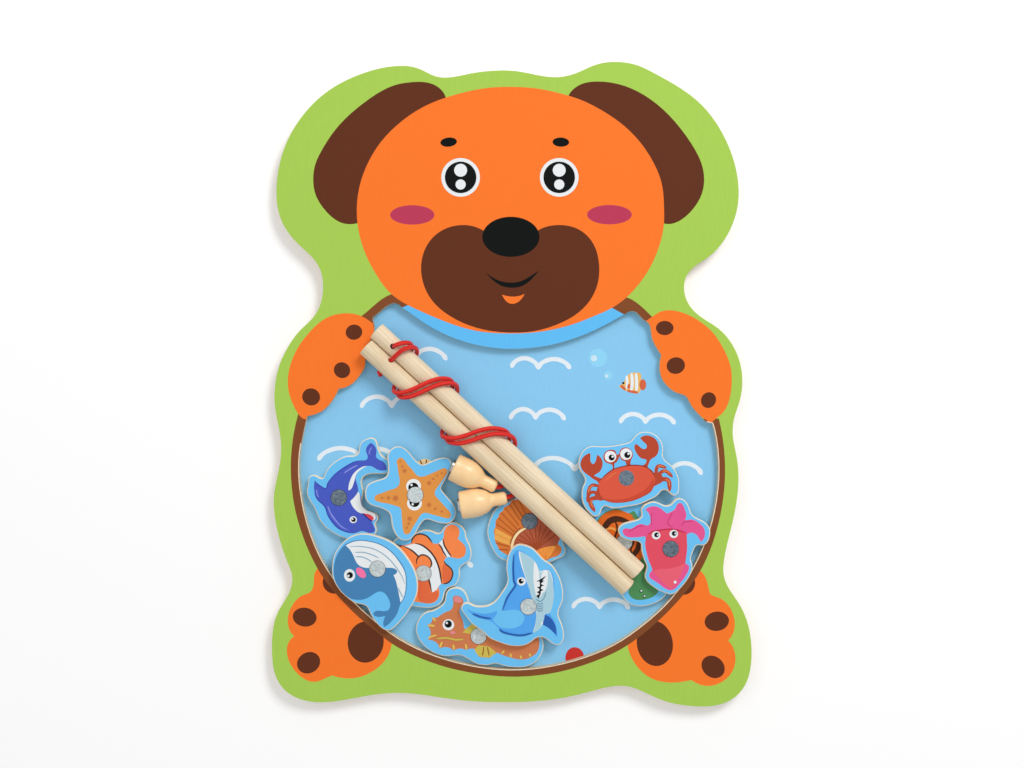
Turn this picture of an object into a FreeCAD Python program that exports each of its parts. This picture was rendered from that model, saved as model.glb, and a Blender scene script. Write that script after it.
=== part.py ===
import FreeCAD, Part
import math
import os
import Sketcher
from FreeCAD import Placement, Rotation, Vector

# A flat wooden magnetic fishing game: a bear shaped board with a sunken pond, ten printed
# sea animal tiles with steel discs, and two dowel rods whose cords end in magnets.
# Millimetres. The board lies in XY with the bear's head toward +Y, its underside at Z = 0.

SIZES = {
    "board_width": 208.2,
    "board_length": 279.6,
    "back_thickness": 3.0,
    "frame_thickness": 3.5,
    "print_depth": 0.1,
    "tile_thickness": 3.5,
    "tile_edge_bevel": 0.4,
    "disc_diameter": 6.9,
    "disc_thickness": 2.0,
    "rod_diameter": 8.0,
    "rod_length": 153.6,
    "rod_gap": 0.1,
    "rod_end_bevel": 0.35,
    "rod_hole_diameter": 2.5,
    "upper_hole_place": 10.1,
    "lower_hole_place": 12.0,
    "cord_diameter": 2.0,
    "knot_diameter": 3.3,
    "holder_length": 20.3,
    "holder_diameter": 12.6,
    "holder_neck_diameter": 5.7,
    "holder_bore_clearance": 0.15,
    "cord_grip_depth": 2.0,
    "magnet_diameter": 6.0,
    "magnet_thickness": 4.0,
    "magnet_stand_out": 1.0,
    "seat_clearance": 0.05,
}

# The outlines below are drawn at these board sizes, and are stretched with the sheet's.
DRAWN_WIDTH = 208.2
DRAWN_LENGTH = 279.6
SPANS_PER_PIECE = 10

# A smooth closed outline is one list of points. An outline with corners is a list of strokes,
# each running smoothly from its first point to the first point of the next stroke.
BOARD = [
    (-47, 138.1), (-56, 137.3), (-66, 134.4), (-76, 129.7), (-85, 123), (-92.5, 114.3),
    (-98, 104.5), (-101.2, 94), (-102.3, 83), (-101, 73.5), (-97.5, 66.3), (-92.5, 60.5),
    (-87, 55.3), (-83.2, 49.5), (-82, 42.5), (-82.9, 35.5), (-86.2, 29), (-91.5, 23.8),
    (-96.8, 16.8), (-100.9, 8.3), (-102.9, -1), (-102.9, -10), (-101.2, -19), (-100.2, -28),
    (-101.4, -38), (-103.3, -48), (-102.9, -58), (-100.7, -68), (-97.6, -77), (-95.5, -83),
    (-95.8, -88), (-98.5, -93.8), (-101.8, -99.5), (-103.8, -107), (-104.2, -116),
    (-103, -125.5), (-99, -132.5), (-92, -136.8), (-83, -138.2), (-73, -137.2),
    (-60, -134.9), (-48, -134.1), (-36, -135.3), (-21, -137.4), (-6, -138.1), (9, -137.8),
    (23, -136.1), (35, -133.2), (43, -131.3), (50.5, -131.3), (58, -134.1), (67.5, -138),
    (78, -139.8), (88, -139.6), (96, -136.5), (101.3, -130.5), (103.7, -122), (103.8, -112),
    (102, -102.8), (98.5, -95.3), (94.6, -89.5), (92, -83.5), (92.1, -76), (94.4, -65.5),
    (97, -54), (98.3, -42), (97.5, -31.5), (95.9, -23), (96.3, -15.5), (98.8, -7.5),
    (100, 1), (98.9, 9.5), (95.2, 17.8), (89.2, 24.4), (81.5, 29.5), (76.6, 34.8),
    (74.7, 41.5), (75.8, 47), (79.5, 51.2), (85.5, 55.3), (91.3, 61.3), (95.8, 69.5),
    (98.2, 79), (98, 89), (95.3, 100), (90, 111.2), (82.5, 121), (73, 128.5), (62, 134.8),
    (54, 138.5), (46, 139.8), (37, 138.8), (28, 135), (20, 133.2), (12, 133.9), (2, 135.8),
    (-8, 136), (-18, 134.8), (-27, 133.1), (-33, 133.5), (-39.5, 136.5),
]

# The pond's edge is shared by the cut in the frame and the printed water below it.
POND = [
    [(-47.5, 33), (-49.3, 34.6), (-51, 35.2), (-53, 34.7), (-56.5, 32.3)],
    [(-60.3, 29.2), (-60.5, 28), (-59.9, 25.5), (-60.4, 21.5), (-62.4, 16.5), (-63.7, 11.5),
     (-63.9, 8), (-66, 4), (-69, 0.5), (-72, -1.3)],
    [(-75.3, -2), (-77, -5.5), (-79.5, -9), (-83, -12), (-86.5, -13.4)],
    [(-89, -14), (-91, -23), (-92.3, -33), (-92, -44), (-90.4, -54), (-87.5, -64.5),
     (-83.5, -74.3), (-78.9, -82.1), (-71.5, -91.4), (-63.8, -99), (-56.6, -105),
     (-50.3, -109.6), (-40, -115.2), (-28, -119.6), (-16, -122.4), (-3, -123.8), (10, -123.3),
     (22, -121.2), (35, -117.2), (46, -112), (55, -105.8), (64, -98.2), (72, -89.3),
     (78.5, -79.7), (83.5, -69), (87, -58), (89, -47), (89.6, -36), (89, -27), (87.9, -20.5)],
    [(86.9, -17), (85, -16.7), (82, -14), (79, -10.8), (77, -7.5), (75.6, -5.3), (74.2, -4.6),
     (71, -3.5), (68, -1.3), (65.5, 1.8), (64.3, 5.5), (64.2, 9)],
    [(64.9, 12.5), (63, 15.5), (61.2, 19), (60.5, 22), (60.2, 24.5)],
    [(58.5, 27.2), (55.5, 29.7), (53.5, 31.4), (51.5, 31.6), (49.5, 30.7)],
    [(48, 29.8), (42, 26.5), (35, 23), (26, 19.5), (16, 16.8), (6, 15.5), (-3, 15.3),
     (-13, 16.5), (-22, 18.8), (-31, 22.5), (-38, 26.5), (-44, 30.7)],
]

# The brown ring's outer edge. Its inner side runs on into the pond and is trimmed there.
LOWER_RING = [
    [(-92.8, -13), (-95, -23), (-96, -34), (-95.5, -46), (-93.8, -56), (-90.8, -66),
     (-86.6, -76), (-82, -84), (-78.2, -89), (-74, -93.8), (-66, -101.7), (-58.5, -107.9),
     (-52, -112.8), (-41, -118.5), (-29, -122.8), (-16, -125.6), (-3, -127), (10, -126.6),
     (23, -124.4), (36, -120.3), (47.5, -115), (57.5, -108), (66.5, -100), (74.8, -91),
     (81.5, -81.5), (86.6, -70.5), (90, -59), (92, -47), (92.5, -36), (91.8, -26)],
    [(89.8, -15)], [(80, -15)], [(0, -90)], [(-80, -13)],
]
UPPER_LEFT_RING = [
    [(-66, 29), (-60, 34), (-52.8, 38.8)], [(-42, 34)], [(-47, 28)], [(-60, 22)],
]
UPPER_RIGHT_RING = [
    [(62, 28), (56, 33.8), (49.8, 37.6)], [(40, 34)], [(47, 26)], [(58, 22)],
]
CHIN_BAND = [[(-47.6, 33.2)], [(-45.7, 34), (0, 40)], [(43.5, 33)], [(49, 30)], [(40, 10), (-38, 10)]]

HEAD = [
    (-67.4, 75), (-66.9, 82), (-65, 90), (-61.5, 98), (-56.5, 105.6), (-50, 112.3),
    (-42, 118.3), (-33, 122.8), (-22, 126.3), (-10, 128.6), (0, 129), (10, 128.4),
    (20, 126.4), (30, 123.3), (40, 118.2), (49, 111.8), (56, 104.5), (61.5, 96), (65, 87),
    (66, 77), (65.8, 68), (63.8, 59.5), (60, 50.7), (54.8, 43), (49.5, 37.4), (43, 32.8),
    (36, 29.6), (27, 26.1), (16, 23.3), (6, 22.1), (-4, 22), (-14, 22.8), (-24, 25.3),
    (-33, 28.7), (-41, 32.2), (-47.3, 35.4), (-53, 39.6), (-58, 46), (-62.5, 54),
    (-65.8, 63),
]
LEFT_EAR = [
    [(-28.7, 124.3), (-30.5, 127.5), (-34, 130), (-38.5, 131.1), (-44, 131), (-50, 130),
     (-57, 127), (-64, 122.3), (-71, 116.5), (-77, 110), (-82, 102.5), (-85.5, 95),
     (-86.3, 88), (-85.2, 82), (-82, 76.5), (-78, 72.3), (-73.5, 69.8), (-69.5, 69.4)],
    [(-66.5, 70)], [(-55, 98)],
]
RIGHT_EAR = [
    [(24.5, 125.3), (27, 128.3), (31, 130.5), (36, 131.3), (42, 131), (50, 129), (58, 125),
     (66, 118.8), (73.5, 110.5), (79, 102.5), (82.5, 95), (83.4, 88), (82.2, 82),
     (79, 76.5), (74.5, 72), (70, 69.7)],
    [(65.5, 69.8)], [(55, 98)],
]
MUZZLE = [
    [(-12, 66.3), (-16.5, 68.4), (-22, 69), (-28, 67.8), (-34, 64), (-38, 58), (-39.5, 50.5),
     (-38.3, 43), (-34.5, 36), (-28, 30.2), (-19, 25.6), (-9, 23), (0, 22.3), (10, 23),
     (19, 25.6), (27.5, 30), (34, 36.5), (37.3, 44), (37.8, 52), (36, 59.5), (32, 65),
     (26, 68.3), (19.5, 69), (14, 68)],
    [(11, 66.5)],
]
SMILE = [
    [(-11.5, 48.6), (-8, 46), (-4, 44.4), (0, 44), (4, 44.7), (8, 46.8)],
    [(11.6, 49.2), (8, 45), (4, 42.4), (0, 41.8), (-4, 42.4), (-8, 44.8)],
]
TONGUE = [
    [(-4.4, 38.8), (-1, 38), (3, 38.2)],
    [(5.5, 39.2), (3.5, 36.3), (1, 34.9), (-1.5, 35.2), (-3.3, 36.9)],
]
LEFT_PAW = [
    [(-60.3, 26.3), (-62, 27.5), (-65.5, 29.5), (-68.5, 30.4), (-74, 30.6), (-80.5, 28.7),
     (-87, 23.5), (-92.5, 16.5), (-96, 9), (-97.3, 2), (-96.5, -5), (-94, -11),
     (-91.8, -14.2), (-90.2, -15.2)],
    [(-88.5, -15)], [(-70, -8)], [(-58, 10)],
]
RIGHT_PAW = [
    [(58.2, 27.4), (61, 29.3), (64.5, 31.4), (69, 32), (74, 31), (80, 28.2), (87, 22.5),
     (92, 15), (95, 7), (95.3, -1), (94, -8), (91.5, -12.5), (89, -14.6)],
    [(86.5, -17)], [(60, 0)],
]
LEFT_FOOT = [
    [(-84.2, -80), (-86, -84.5), (-86.3, -88), (-87.5, -90.2), (-91, -91.8), (-95, -95.5),
     (-97, -100), (-97.2, -104.5), (-96, -107.8)],
    [(-94.5, -109.5), (-97.3, -113), (-97.5, -118), (-95, -123.5), (-91, -127.5),
     (-86, -129.3), (-81.5, -128)],
    [(-78, -126.5), (-73, -127.7), (-67, -127.4), (-61, -125), (-56, -121), (-53, -116),
     (-52, -111)],
    [(-60, -90)],
]
RIGHT_FOOT = [
    [(79.5, -80), (84, -84), (85.2, -88), (86.2, -91.2), (89.5, -92.7), (93.5, -95.5),
     (96, -100), (96.7, -105), (95.6, -109)],
    [(93.8, -111.3), (96, -114.5), (97, -119), (96, -124), (93, -128), (88.5, -130.5),
     (84, -131), (80, -129.8)],
    [(77.8, -128.5), (73, -129.4), (67, -129.5), (61, -128), (55.5, -124), (52, -119),
     (49.8, -111)],
    [(60, -90)],
]

# Ellipses: centre, half length, half height and turn in degrees.
LEFT_PADS = [((-90, -101.2), 5.2, 4.1, -8), ((-88.3, -121), 5.2, 4.5, 30), ((-63.5, -112), 9, 7.8, 82)]
RIGHT_PADS = [((88.9, -103), 5.3, 4.2, 8), ((87.3, -122.8), 5.4, 4.5, -40), ((62, -112.6), 9.9, 7.8, 100)]
RIM_LOBES = [((-77.2, -86), 5, 5, 0), ((74.4, -86.4), 5.1, 5.1, 0)]
PAW_PADS = [
    ((-68.6, 22.5), 3.6, 3.3, 10), ((-73.8, 6), 3.6, 3.4, -30), ((-87.2, -5.6), 3.9, 3.7, -20),
    ((66.3, 24.3), 3.8, 3.1, 0), ((71.1, 8), 4, 3.6, 12), ((85.3, -7), 3.5, 3.2, 60),
]
CHEEKS = [((-43.3, 73.4), 9.6, 4.2, 0), ((42.3, 73.5), 9.7, 4.2, 0)]
BROWS = [((-27.5, 105), 3.6, 2, 6), ((21.2, 105), 3.6, 2, -2)]
NOSE = [((-0.5, 63.9), 12.4, 8.7, 0)]
EYES = [(-22.3, 89.7), (20.5, 89.7)]
EYE_RADII = {"white": 8.4, "black": 6.85, "upper_light": 2.8, "lower_light": 2.2}
EYE_LIGHT_RISE = 3.1

# Each wave is two humps: its left end, the dip between them, its right end and their rise.
WAVES = [
    ((0, 8), (11.5, 7.3), (25, 7.3), 3.6), ((-0.5, -14.5), (10.3, -14.6), (22.7, -15), 3.6),
    ((47.5, -16.2), (58.3, -16.4), (70.7, -16.8), 3.2), ((26.8, -97), (38.2, -97.3), (50.7, -97.5), 3.3),
    ((-65.6, -9.5), (-52.5, -9.5), (-39.5, -8), 4), ((-84.3, -32.5), (-66.5, -31.5), (-50, -33), 4),
    ((10.3, -35.5), (27.4, -37.2), (44, -37), 4), ((58, -38.5), (69.5, -37.6), (82.5, -38.8), 3.6),
    ((-53, 13.2), (-41.5, 12.6), (-29, 11.2), 3.4),
]
# A hump's centre line, as shares of its span and its rise.
HUMP = [(0, 0), (0.08, 0.4), (0.26, 0.82), (0.5, 1), (0.74, 0.82), (0.92, 0.4), (1, 0)]
WAVE_WIDTH = 1.9
SHORT_WAVE = ((-18.3, -78.8), 1.6, 1.1, -45)
BUBBLES = [((37.5, 11.5), 4.0, 4.0, 0), ((42, 3.8), 2.0, 2.0, 0), ((-28.5, -28), 1.2, 1.2, 0)]
STRIPED_FISH = [(47, -0.6), (49.5, 2), (51.5, 4.6), (53.5, 5), (56, 4.6), (56.4, 1.5), (56.3, -2),
                (55.2, -4), (51.5, -3.6), (49, -2.7)]
FISH_TAIL = ((57.1, -0.3), 2.3, 1.4, 90)
CORAL = [((27.4, -119.5), 4.6, 4.1, 90)]

# Tiles. place: the tile's own origin on the board. disc: the steel disc's centre. layer: "floor"
# lies on the pond's floor, "upper" lies level on other tiles, "leaning" is held by three points.
TILES = {
    "dolphin": {
        "place": (-75.2, -49.3), "disc": (0, 0), "layer": "floor",
        "outline": [
            (-13.3, 7.5), (-12.2, 9.5), (-10.5, 9.7), (-8.8, 8.9), (-7.4, 8.4), (-5.8, 10.7),
            (-4.3, 13.2), (-2, 15.3), (0.8, 17.1), (4, 18.1), (7, 18.3), (8.4, 19.3),
            (8.9, 21.8), (9.9, 24.2), (12.2, 25.5), (14.6, 25.9), (16.2, 24.6), (16.9, 22.2),
            (17.7, 19.8), (18.9, 18), (21.3, 16.6), (23.2, 14.2), (23.3, 11.6), (21.2, 10.5),
            (17, 10.3), (13.2, 10.1), (10.8, 9), (9.9, 7), (10.3, 4.4), (10.6, 1.5),
            (9.9, -1.4), (10.5, -4), (12.3, -5.8), (15, -6.6), (16.8, -7.9), (16.9, -9.7),
            (15.9, -11.2), (16.3, -13.2), (16, -15.8), (13.8, -17.7), (9, -18.4), (4, -18),
            (0.2, -16.8), (-3.5, -14.6), (-6.9, -11.7), (-9, -8.3), (-10.6, -4.5),
            (-13, -0.6), (-13.9, 3),
        ],
        "figure": [
            [(-10.4, 7.4), (-8.8, 5.7), (-7, 4.4)],
            [(-5.5, 3.9), (-4.5, 6.5), (-3.2, 8.6), (-0.9, 10.8), (2.1, 13.2), (6, 15),
             (9.4, 15.8), (11.6, 16.2), (12.5, 17.3), (12.2, 19), (11.8, 20.6), (12.2, 22)],
            [(13.9, 23.7), (15.9, 21.9), (16.4, 19.7), (16.2, 17.7), (17.2, 16.6), (19, 15.8),
             (20.2, 14.5)],
            [(20.8, 12.2), (18.9, 11.7), (16.7, 12.2), (14.6, 13.4), (12.6, 13.7), (10.4, 12.7),
             (8.4, 11), (7.4, 8.9), (7.6, 6.9), (8.3, 4.5), (8.6, 2.5), (9.6, 0.4),
             (9.8, -1.8), (10.6, -4), (12.4, -5.7), (14.5, -6.5), (16.1, -7.7), (16.2, -9.2)],
            [(14.4, -10.3), (15.3, -12.6), (15.6, -14.6), (14.4, -15.3), (12, -15),
             (10.1, -14.5), (7.8, -15.2), (4.8, -15.5), (2.2, -14.7), (-0.4, -13.1),
             (-2.6, -10.9), (-4.4, -8.2), (-5.6, -5.2), (-6.3, -3.7), (-8.2, -2.1),
             (-9.8, 0.2), (-10.7, 3.4)],
        ],
    },
    "starfish": {
        "place": (-42.3, -47.9), "disc": (0, -0.2), "layer": "leaning",
        "rests": [((-51.7, -36.9), "tile"), ((-42.3, -64.9), "tile"), ((-26.6, -34), "floor")],
        "outline": [
            (-11.9, 15.5), (-11.4, 18.2), (-9.8, 20), (-7.5, 20.8), (-5.3, 20.3), (-3.4, 18.9),
            (-1.2, 16.4), (0.8, 14.2), (3, 12.9), (5.5, 13.6), (9, 15.1), (12, 15.9),
            (14.2, 15.6), (15.7, 14), (15.5, 11.6), (14.1, 8.4), (12.4, 5), (11.3, 2.4),
            (12.6, 0.4), (15, -2.4), (17, -5.2), (17.7, -8), (16.8, -10.7), (14.8, -12.5),
            (12, -12.6), (8, -11.6), (4.4, -10.9), (2.6, -12.5), (0.8, -15.6), (-1, -18.3),
            (-3.3, -19.7), (-5.8, -19.5), (-8, -17.6), (-9.4, -15), (-10.2, -11.3),
            (-11, -8.1), (-13, -6.5), (-16.5, -5.2), (-19.5, -4), (-21.2, -1.8), (-21.5, 1),
            (-20.6, 4), (-18.4, 5.5), (-15, 6.6), (-12.4, 7.9), (-11.6, 10.6),
        ],
        "figure": [
            (-7.9, 13.2), (-7.6, 15.1), (-6.5, 15.9), (-5.2, 15.4), (-3.5, 13.2), (-1, 10.4),
            (1, 8.1), (2.6, 7.7), (4.8, 8.1), (8, 9.5), (11, 10.8), (12.8, 11.3),
            (13.9, 10.4), (13.5, 8.7), (12, 6.4), (10.3, 3.9), (8.7, 1.5), (8.5, 0),
            (9.5, -1.5), (12, -4.3), (14, -6.5), (15.4, -8.5), (15.2, -10), (13.8, -10.4),
            (11, -9.7), (7, -8.6), (3.9, -8), (2.6, -8.6), (1, -11), (-1.5, -15),
            (-2.8, -16.9), (-4.2, -17.1), (-5.2, -15.5), (-5.6, -12), (-5.9, -8.2),
            (-6.4, -5.8), (-8.2, -4.9), (-12, -3.8), (-16, -3), (-17.5, -1.9), (-17.2, -0.6),
            (-15, 0.5), (-11, 2), (-8, 3.1), (-6.9, 4.5), (-6.8, 7), (-7.4, 10),
        ],
    },
    "whale": {
        "place": (-55.7, -80.9), "disc": (-2.4, 1.1), "layer": "upper",
        "outline": [
            (-16.8, 13), (-13.5, 15.2), (-9.5, 16.3), (-5.5, 16), (-1.5, 14.9), (2.3, 13.4),
            (5.8, 11.2), (8.8, 8.2), (11.3, 4.8), (13.2, 1.5), (14.5, -2), (15, -5.5),
            (14.8, -9), (13.7, -12.5), (12, -15.5), (10, -18.5), (7.5, -21.5), (5, -24.1),
            (2.7, -25.5), (0.6, -25.2), (-1.5, -23.7), (-3.5, -21.4), (-5, -19.2),
            (-6, -16.9), (-7.4, -14.9), (-9.5, -14.2), (-12, -13.6), (-15.5, -11.3),
            (-18, -9), (-20, -6.3), (-21.5, -3.2), (-22, 0.5), (-21.7, 4.5), (-20.4, 8.4),
        ],
        "figure": [
            [(-16.6, 11.4), (-13.8, 12.9), (-10.5, 13.6), (-6.5, 13.3), (-2, 12.2), (2.5, 9.7),
             (5.5, 6.8), (8, 3.5), (9.7, 0), (10.3, -4), (10.1, -8), (9.2, -11.5)],
            [(7.7, -13.8), (7, -15.5), (6.2, -18), (4.8, -20.2), (3, -22.3)],
            [(0.5, -24), (0.1, -22.3), (0.6, -20.2)],
            [(1, -19.2), (-0.8, -19.6), (-2.8, -19.5), (-4.2, -18.4), (-3.4, -17.3),
             (-1.2, -17), (1.5, -17), (2.8, -16), (3.1, -14), (2.4, -11.8), (1, -9.7),
             (-1, -8.7), (-3.2, -9.3), (-5.5, -10.8), (-8, -12), (-11, -12.3), (-14, -11.7),
             (-17, -9.5), (-19.7, -6), (-21.1, -2), (-21.2, 2), (-20.4, 5.6), (-18.8, 8.8)],
        ],
    },
    "clownfish": {
        "place": (-38.5, -82.2), "disc": (0, 0), "layer": "floor",
        "outline": [
            (-13.6, 12.5), (-11.8, 15), (-9, 16), (-6, 16.4), (-3.8, 17.2), (-1.2, 18.4),
            (1.8, 18.8), (4.4, 18.1), (6.5, 17.4), (7.9, 18.2), (8.9, 19.8), (10.6, 21.4),
            (12.8, 22.2), (15, 21.6), (17.2, 19.9), (18.3, 17.8), (18.6, 15.8), (19.8, 13),
            (20.8, 9.8), (20.7, 6.8), (19.3, 4.8), (17.3, 3.7), (16, 2.4), (15.8, -0.5),
            (15.2, -3.2), (13.6, -5.3), (11.4, -6.1), (9.9, -7.2), (9.1, -9), (8.6, -11.2),
            (7.4, -13), (5.3, -14.4), (3, -15), (0, -14.9), (-3, -14.6), (-6.5, -13.5),
            (-10, -10.5), (-12.8, -6), (-14, -0.5), (-14.3, 5), (-14.2, 9.5),
        ],
        "figure": [
            [(-12.2, 12.8), (-9, 12.2), (-6.5, 12.6), (-5.2, 13.2), (-4.8, 14.7), (-3.8, 16.2),
             (-2.3, 17), (-0.5, 17), (1.5, 16.2), (3, 14.6), (4, 13.3), (6.2, 12.9),
             (7.6, 14), (8.7, 15.4), (8.9, 17.3), (9.5, 19.3), (10.9, 20.7), (12.6, 21.2),
             (14.6, 20.4), (15.6, 18.8), (15.6, 16.8)],
            [(14.9, 15), (16.8, 13.4), (18.2, 11.6), (18.5, 9.5), (17.7, 7.5), (16, 6.6),
             (13.5, 6.7), (11.8, 7.1), (9.9, 6.8), (9.1, 5.6), (9.6, 4.2), (11.2, 2.9),
             (12.5, 1.2), (12.7, -0.8), (11.8, -3), (10.2, -4.3), (8.2, -4.5)],
            [(6.6, -6.3), (7, -7.8), (6.9, -9.6), (6, -11.5), (4.4, -12.7), (2, -13.1),
             (-0.8, -12.7), (-4.5, -12), (-8.2, -9.3), (-10.8, -5), (-11.9, 0), (-12.2, 5),
             (-12.5, 9.5)],
        ],
    },
    "seahorse": {
        "place": (-14.5, -109.4), "disc": (0, 0), "layer": "floor",
        "outline": [
            (-27.2, 3), (-26.6, 6), (-25.1, 8.5), (-22.8, 10.4), (-19.7, 11.2), (-17.5, 12.3),
            (-15.3, 14.1), (-14.4, 16.4), (-14.1, 18.4), (-13.1, 20), (-11.2, 20.9),
            (-9, 21), (-7, 20.1), (-5.4, 18.2), (-4.4, 15.5), (-3, 12), (0.5, 9), (6, 7.5),
            (13, 6), (20, 4.2), (25, 1.6), (27.8, -1.6), (28.2, -4.8), (27.2, -8),
            (25.5, -10.5), (23, -12.4), (20, -13.5), (17, -13.7), (13, -13.4), (10, -12.7),
            (7.4, -12), (4.8, -12.5), (2, -12.7), (-1.2, -12), (-4.2, -10.2), (-6.5, -8.9),
            (-8.5, -8.4), (-10.5, -8.5), (-13, -8.8), (-16, -8.6), (-19, -7.6), (-22, -5.8),
            (-24.5, -3.4), (-26.3, -0.6),
        ],
        "figure": [
            [(-11.2, 16), (-10.6, 17.3), (-9.3, 17.5), (-7.5, 16.7), (-6.6, 15.3), (-7.4, 13.2),
             (-8.2, 11.3), (-8.1, 9.6), (-7.2, 7.6), (-6.5, 5)],
            [(-6.4, 3.3), (-4.6, 3.6), (-3.2, 4.9), (-2, 5.3), (0, 4.4), (2.4, 2.4), (4, 0),
             (8, -1.6), (13, -3), (18, -3.2), (22, -2), (24.5, -0.3)],
            [(25.9, -0.4), (26.4, -2.2), (26.3, -4.5), (25.4, -7), (23, -9), (20.5, -10),
             (18, -10.2), (15, -9.7), (12, -8.8), (9.5, -7.9), (7.9, -7.3)],
            [(7.3, -7.6), (6.3, -8.2), (5, -9.4), (2.6, -9.3), (0.5, -9.1), (-0.8, -7.6)],
            [(-1.7, -5.6), (-3.5, -5.5)],
            [(-5.5, -6.1), (-8, -5.4)],
            [(-10.8, -6.4), (-14, -4.8)],
            [(-17, -5.5), (-18, -3.2)],
            [(-22, -1.7), (-20.8, 1.3)],
            [(-22.4, 4.8), (-20.6, 5.8)],
            [(-20.1, 8), (-18, 8.1), (-16, 9.4), (-14, 10.5), (-12, 11.4), (-11.1, 13.2)],
        ],
    },
    "shark": {
        "place": (3.5, -90.0), "disc": (3.55, -6.15), "layer": "upper",
        "outline": [
            (0, 20.8), (3, 20.2), (6, 18.6), (8.2, 16.3), (10.5, 14), (13.3, 12.2),
            (15.5, 9.4), (17.2, 6), (18.3, 2.3), (18.6, -1.4), (18, -4.6), (16.8, -7.3),
            (16.5, -9.4), (17.3, -12), (18.4, -15), (18.9, -18.3), (18.3, -21.2),
            (16.4, -22.7), (14, -22.1), (11.7, -20.4), (9.2, -19.3), (7, -19.7), (5, -21.2),
            (2.5, -22.6), (-1, -23.2), (-5, -22.8), (-9.5, -21.3), (-13.5, -19.4),
            (-16, -17), (-18.8, -15), (-21.8, -12.3), (-24, -9.4), (-25.4, -6.7),
            (-24.4, -4.9), (-22.4, -4.5), (-20.2, -5.5), (-17, -6), (-14, -5.6),
            (-11.5, -4.3), (-9.3, -2), (-7.5, 0.6), (-5.8, 3.4), (-5.4, 6.5), (-5.9, 10),
            (-5.7, 13.5), (-4.7, 17), (-2.6, 19.8),
        ],
        "figure": [
            [(-2.4, 17.6), (-1, 18.3), (1.3, 17.5), (4, 15.6), (6.2, 13.6), (7.8, 11.4)],
            [(8.2, 9.6), (9.5, 9.3), (10.8, 10), (12.4, 10), (13.9, 8), (14.7, 5), (14.8, 1.6),
             (14.5, -2), (13.8, -5.5), (12.9, -8.9), (14.6, -11.8), (15.7, -15)],
            [(16, -19.3), (14, -17), (11.6, -14.7)],
            [(9.6, -13.7), (8.6, -15.8), (6, -17.3), (3.5, -18.2), (0, -18.6),
             (-3.5, -18.3), (-6.8, -17.4), (-9, -15.7), (-11.3, -13.4), (-13, -12.2),
             (-16.5, -11.4), (-19.5, -10.3), (-21.7, -8.6)],
            [(-23, -6.8), (-20.5, -8.2), (-17, -9), (-13.5, -9)],
            [(-10, -7.8), (-10.6, -10), (-11.6, -11.8), (-10.2, -13.7), (-8.4, -15),
             (-6, -15.5), (-3, -15.4), (0, -14.3), (1.5, -12.4), (1.7, -10), (0.5, -8.3),
             (-2, -7.5), (-5, -7.6)],
            [(-7.7, -8), (-7, -5), (-5.4, -1.9), (-3.4, 0.6), (-2.1, 3), (-2.7, 5),
             (-3, 8), (-3, 12), (-2.7, 15.5)],
        ],
    },
    "scallop": {
        "place": (7.6, -59.55), "disc": (0, 0), "layer": "floor",
        "outline": [
            (-7, 9.5), (-10.5, 8), (-13.3, 6.5), (-15.7, 4), (-17.3, 0.5), (-18.3, -3.5),
            (-18, -7), (-16.9, -10.2), (-15.2, -13.5), (-13, -16), (-10, -17.2), (-5, -17.8),
            (1, -18.4), (6, -18.5), (9.5, -17.6), (12.5, -16.2), (14.9, -14.8), (15.7, -12.5),
            (15, -10.2), (14.3, -7.5), (15.8, -3), (16.4, 2), (15, 7), (12, 11), (7.5, 14),
            (2, 14.6), (-3, 12.6),
        ],
        "figure": [
            (-6, 9.3), (-7.8, 8.6), (-9, 7.1), (-11, 5.9), (-11.7, 4.4), (-12.9, 3.5),
            (-13.5, 1.8), (-14.3, 0.8), (-14.8, -0.9), (-14.8, -2.5), (-15.4, -3.6),
            (-15.3, -5.6), (-15, -7.2), (-14.9, -9), (-14, -10.6), (-13.3, -12.1),
            (-12, -13.3), (-10.4, -14.3), (-8, -15.2), (-4, -15.6), (1, -16), (5, -16.8),
            (7.2, -17), (9.3, -16), (11.4, -15.4), (13.1, -14.3), (13.9, -12.6),
            (13.4, -10.9), (12.4, -9.9), (13, -8.3), (13.6, -3), (13.6, 2.5), (11.8, 7),
            (8.5, 10.5), (4, 12), (0, 11.8), (-3, 10.4),
        ],
    },
    "crab": {
        "place": (49.45, -41.1), "disc": (0, 0), "layer": "leaning",
        "rests": [((44, -51.1), "tile"), ((58, -51.1), "tile"), ((58.2, -21.0), "floor")],
        "outline": [
            (-20.6, 7.5), (-19.6, 10.5), (-18, 12.5), (-15.8, 13.7), (-12, 13.8), (-8, 13.8),
            (-4, 14.3), (-0.5, 15), (2.2, 16.2), (4.2, 18.4), (6.3, 19.8), (9, 20.1),
            (11.7, 19.4), (14, 17.8), (15.6, 15.2), (16.1, 12.4), (15.9, 9.6), (17.2, 7.4),
            (19.4, 5.6), (21.4, 3), (22.7, -0.3), (22.8, -4), (22.3, -6.4), (20.9, -7.5),
            (19, -6.6), (17.3, -5.2), (15.6, -5.2), (13.8, -7), (11, -8.9), (8, -10.3),
            (4.5, -11.5), (0.5, -12.2), (-4, -12.9), (-7, -12.7), (-9.3, -12.1),
            (-10.5, -12.9), (-11.2, -14.7), (-12.3, -16.2), (-14, -16.5), (-16, -15),
            (-18, -12.5), (-19.1, -9.5), (-19.3, -6.5), (-18.7, -3.5), (-17.8, -1),
            (-18.4, 1), (-19.9, 3.4),
        ],
        "figure": [
            [(-15.7, 10.8), (-17.6, 10), (-19.1, 8.4), (-19.8, 6.2), (-19.3, 4), (-17.8, 2.2),
             (-16, 0.9), (-14, -0.6), (-12.3, -1.8), (-12, -2.6), (-13.6, -2.3), (-15.2, -2.6),
             (-16.4, -4.6), (-16.9, -7), (-16.8, -9.6), (-15.6, -12.4)],
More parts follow.
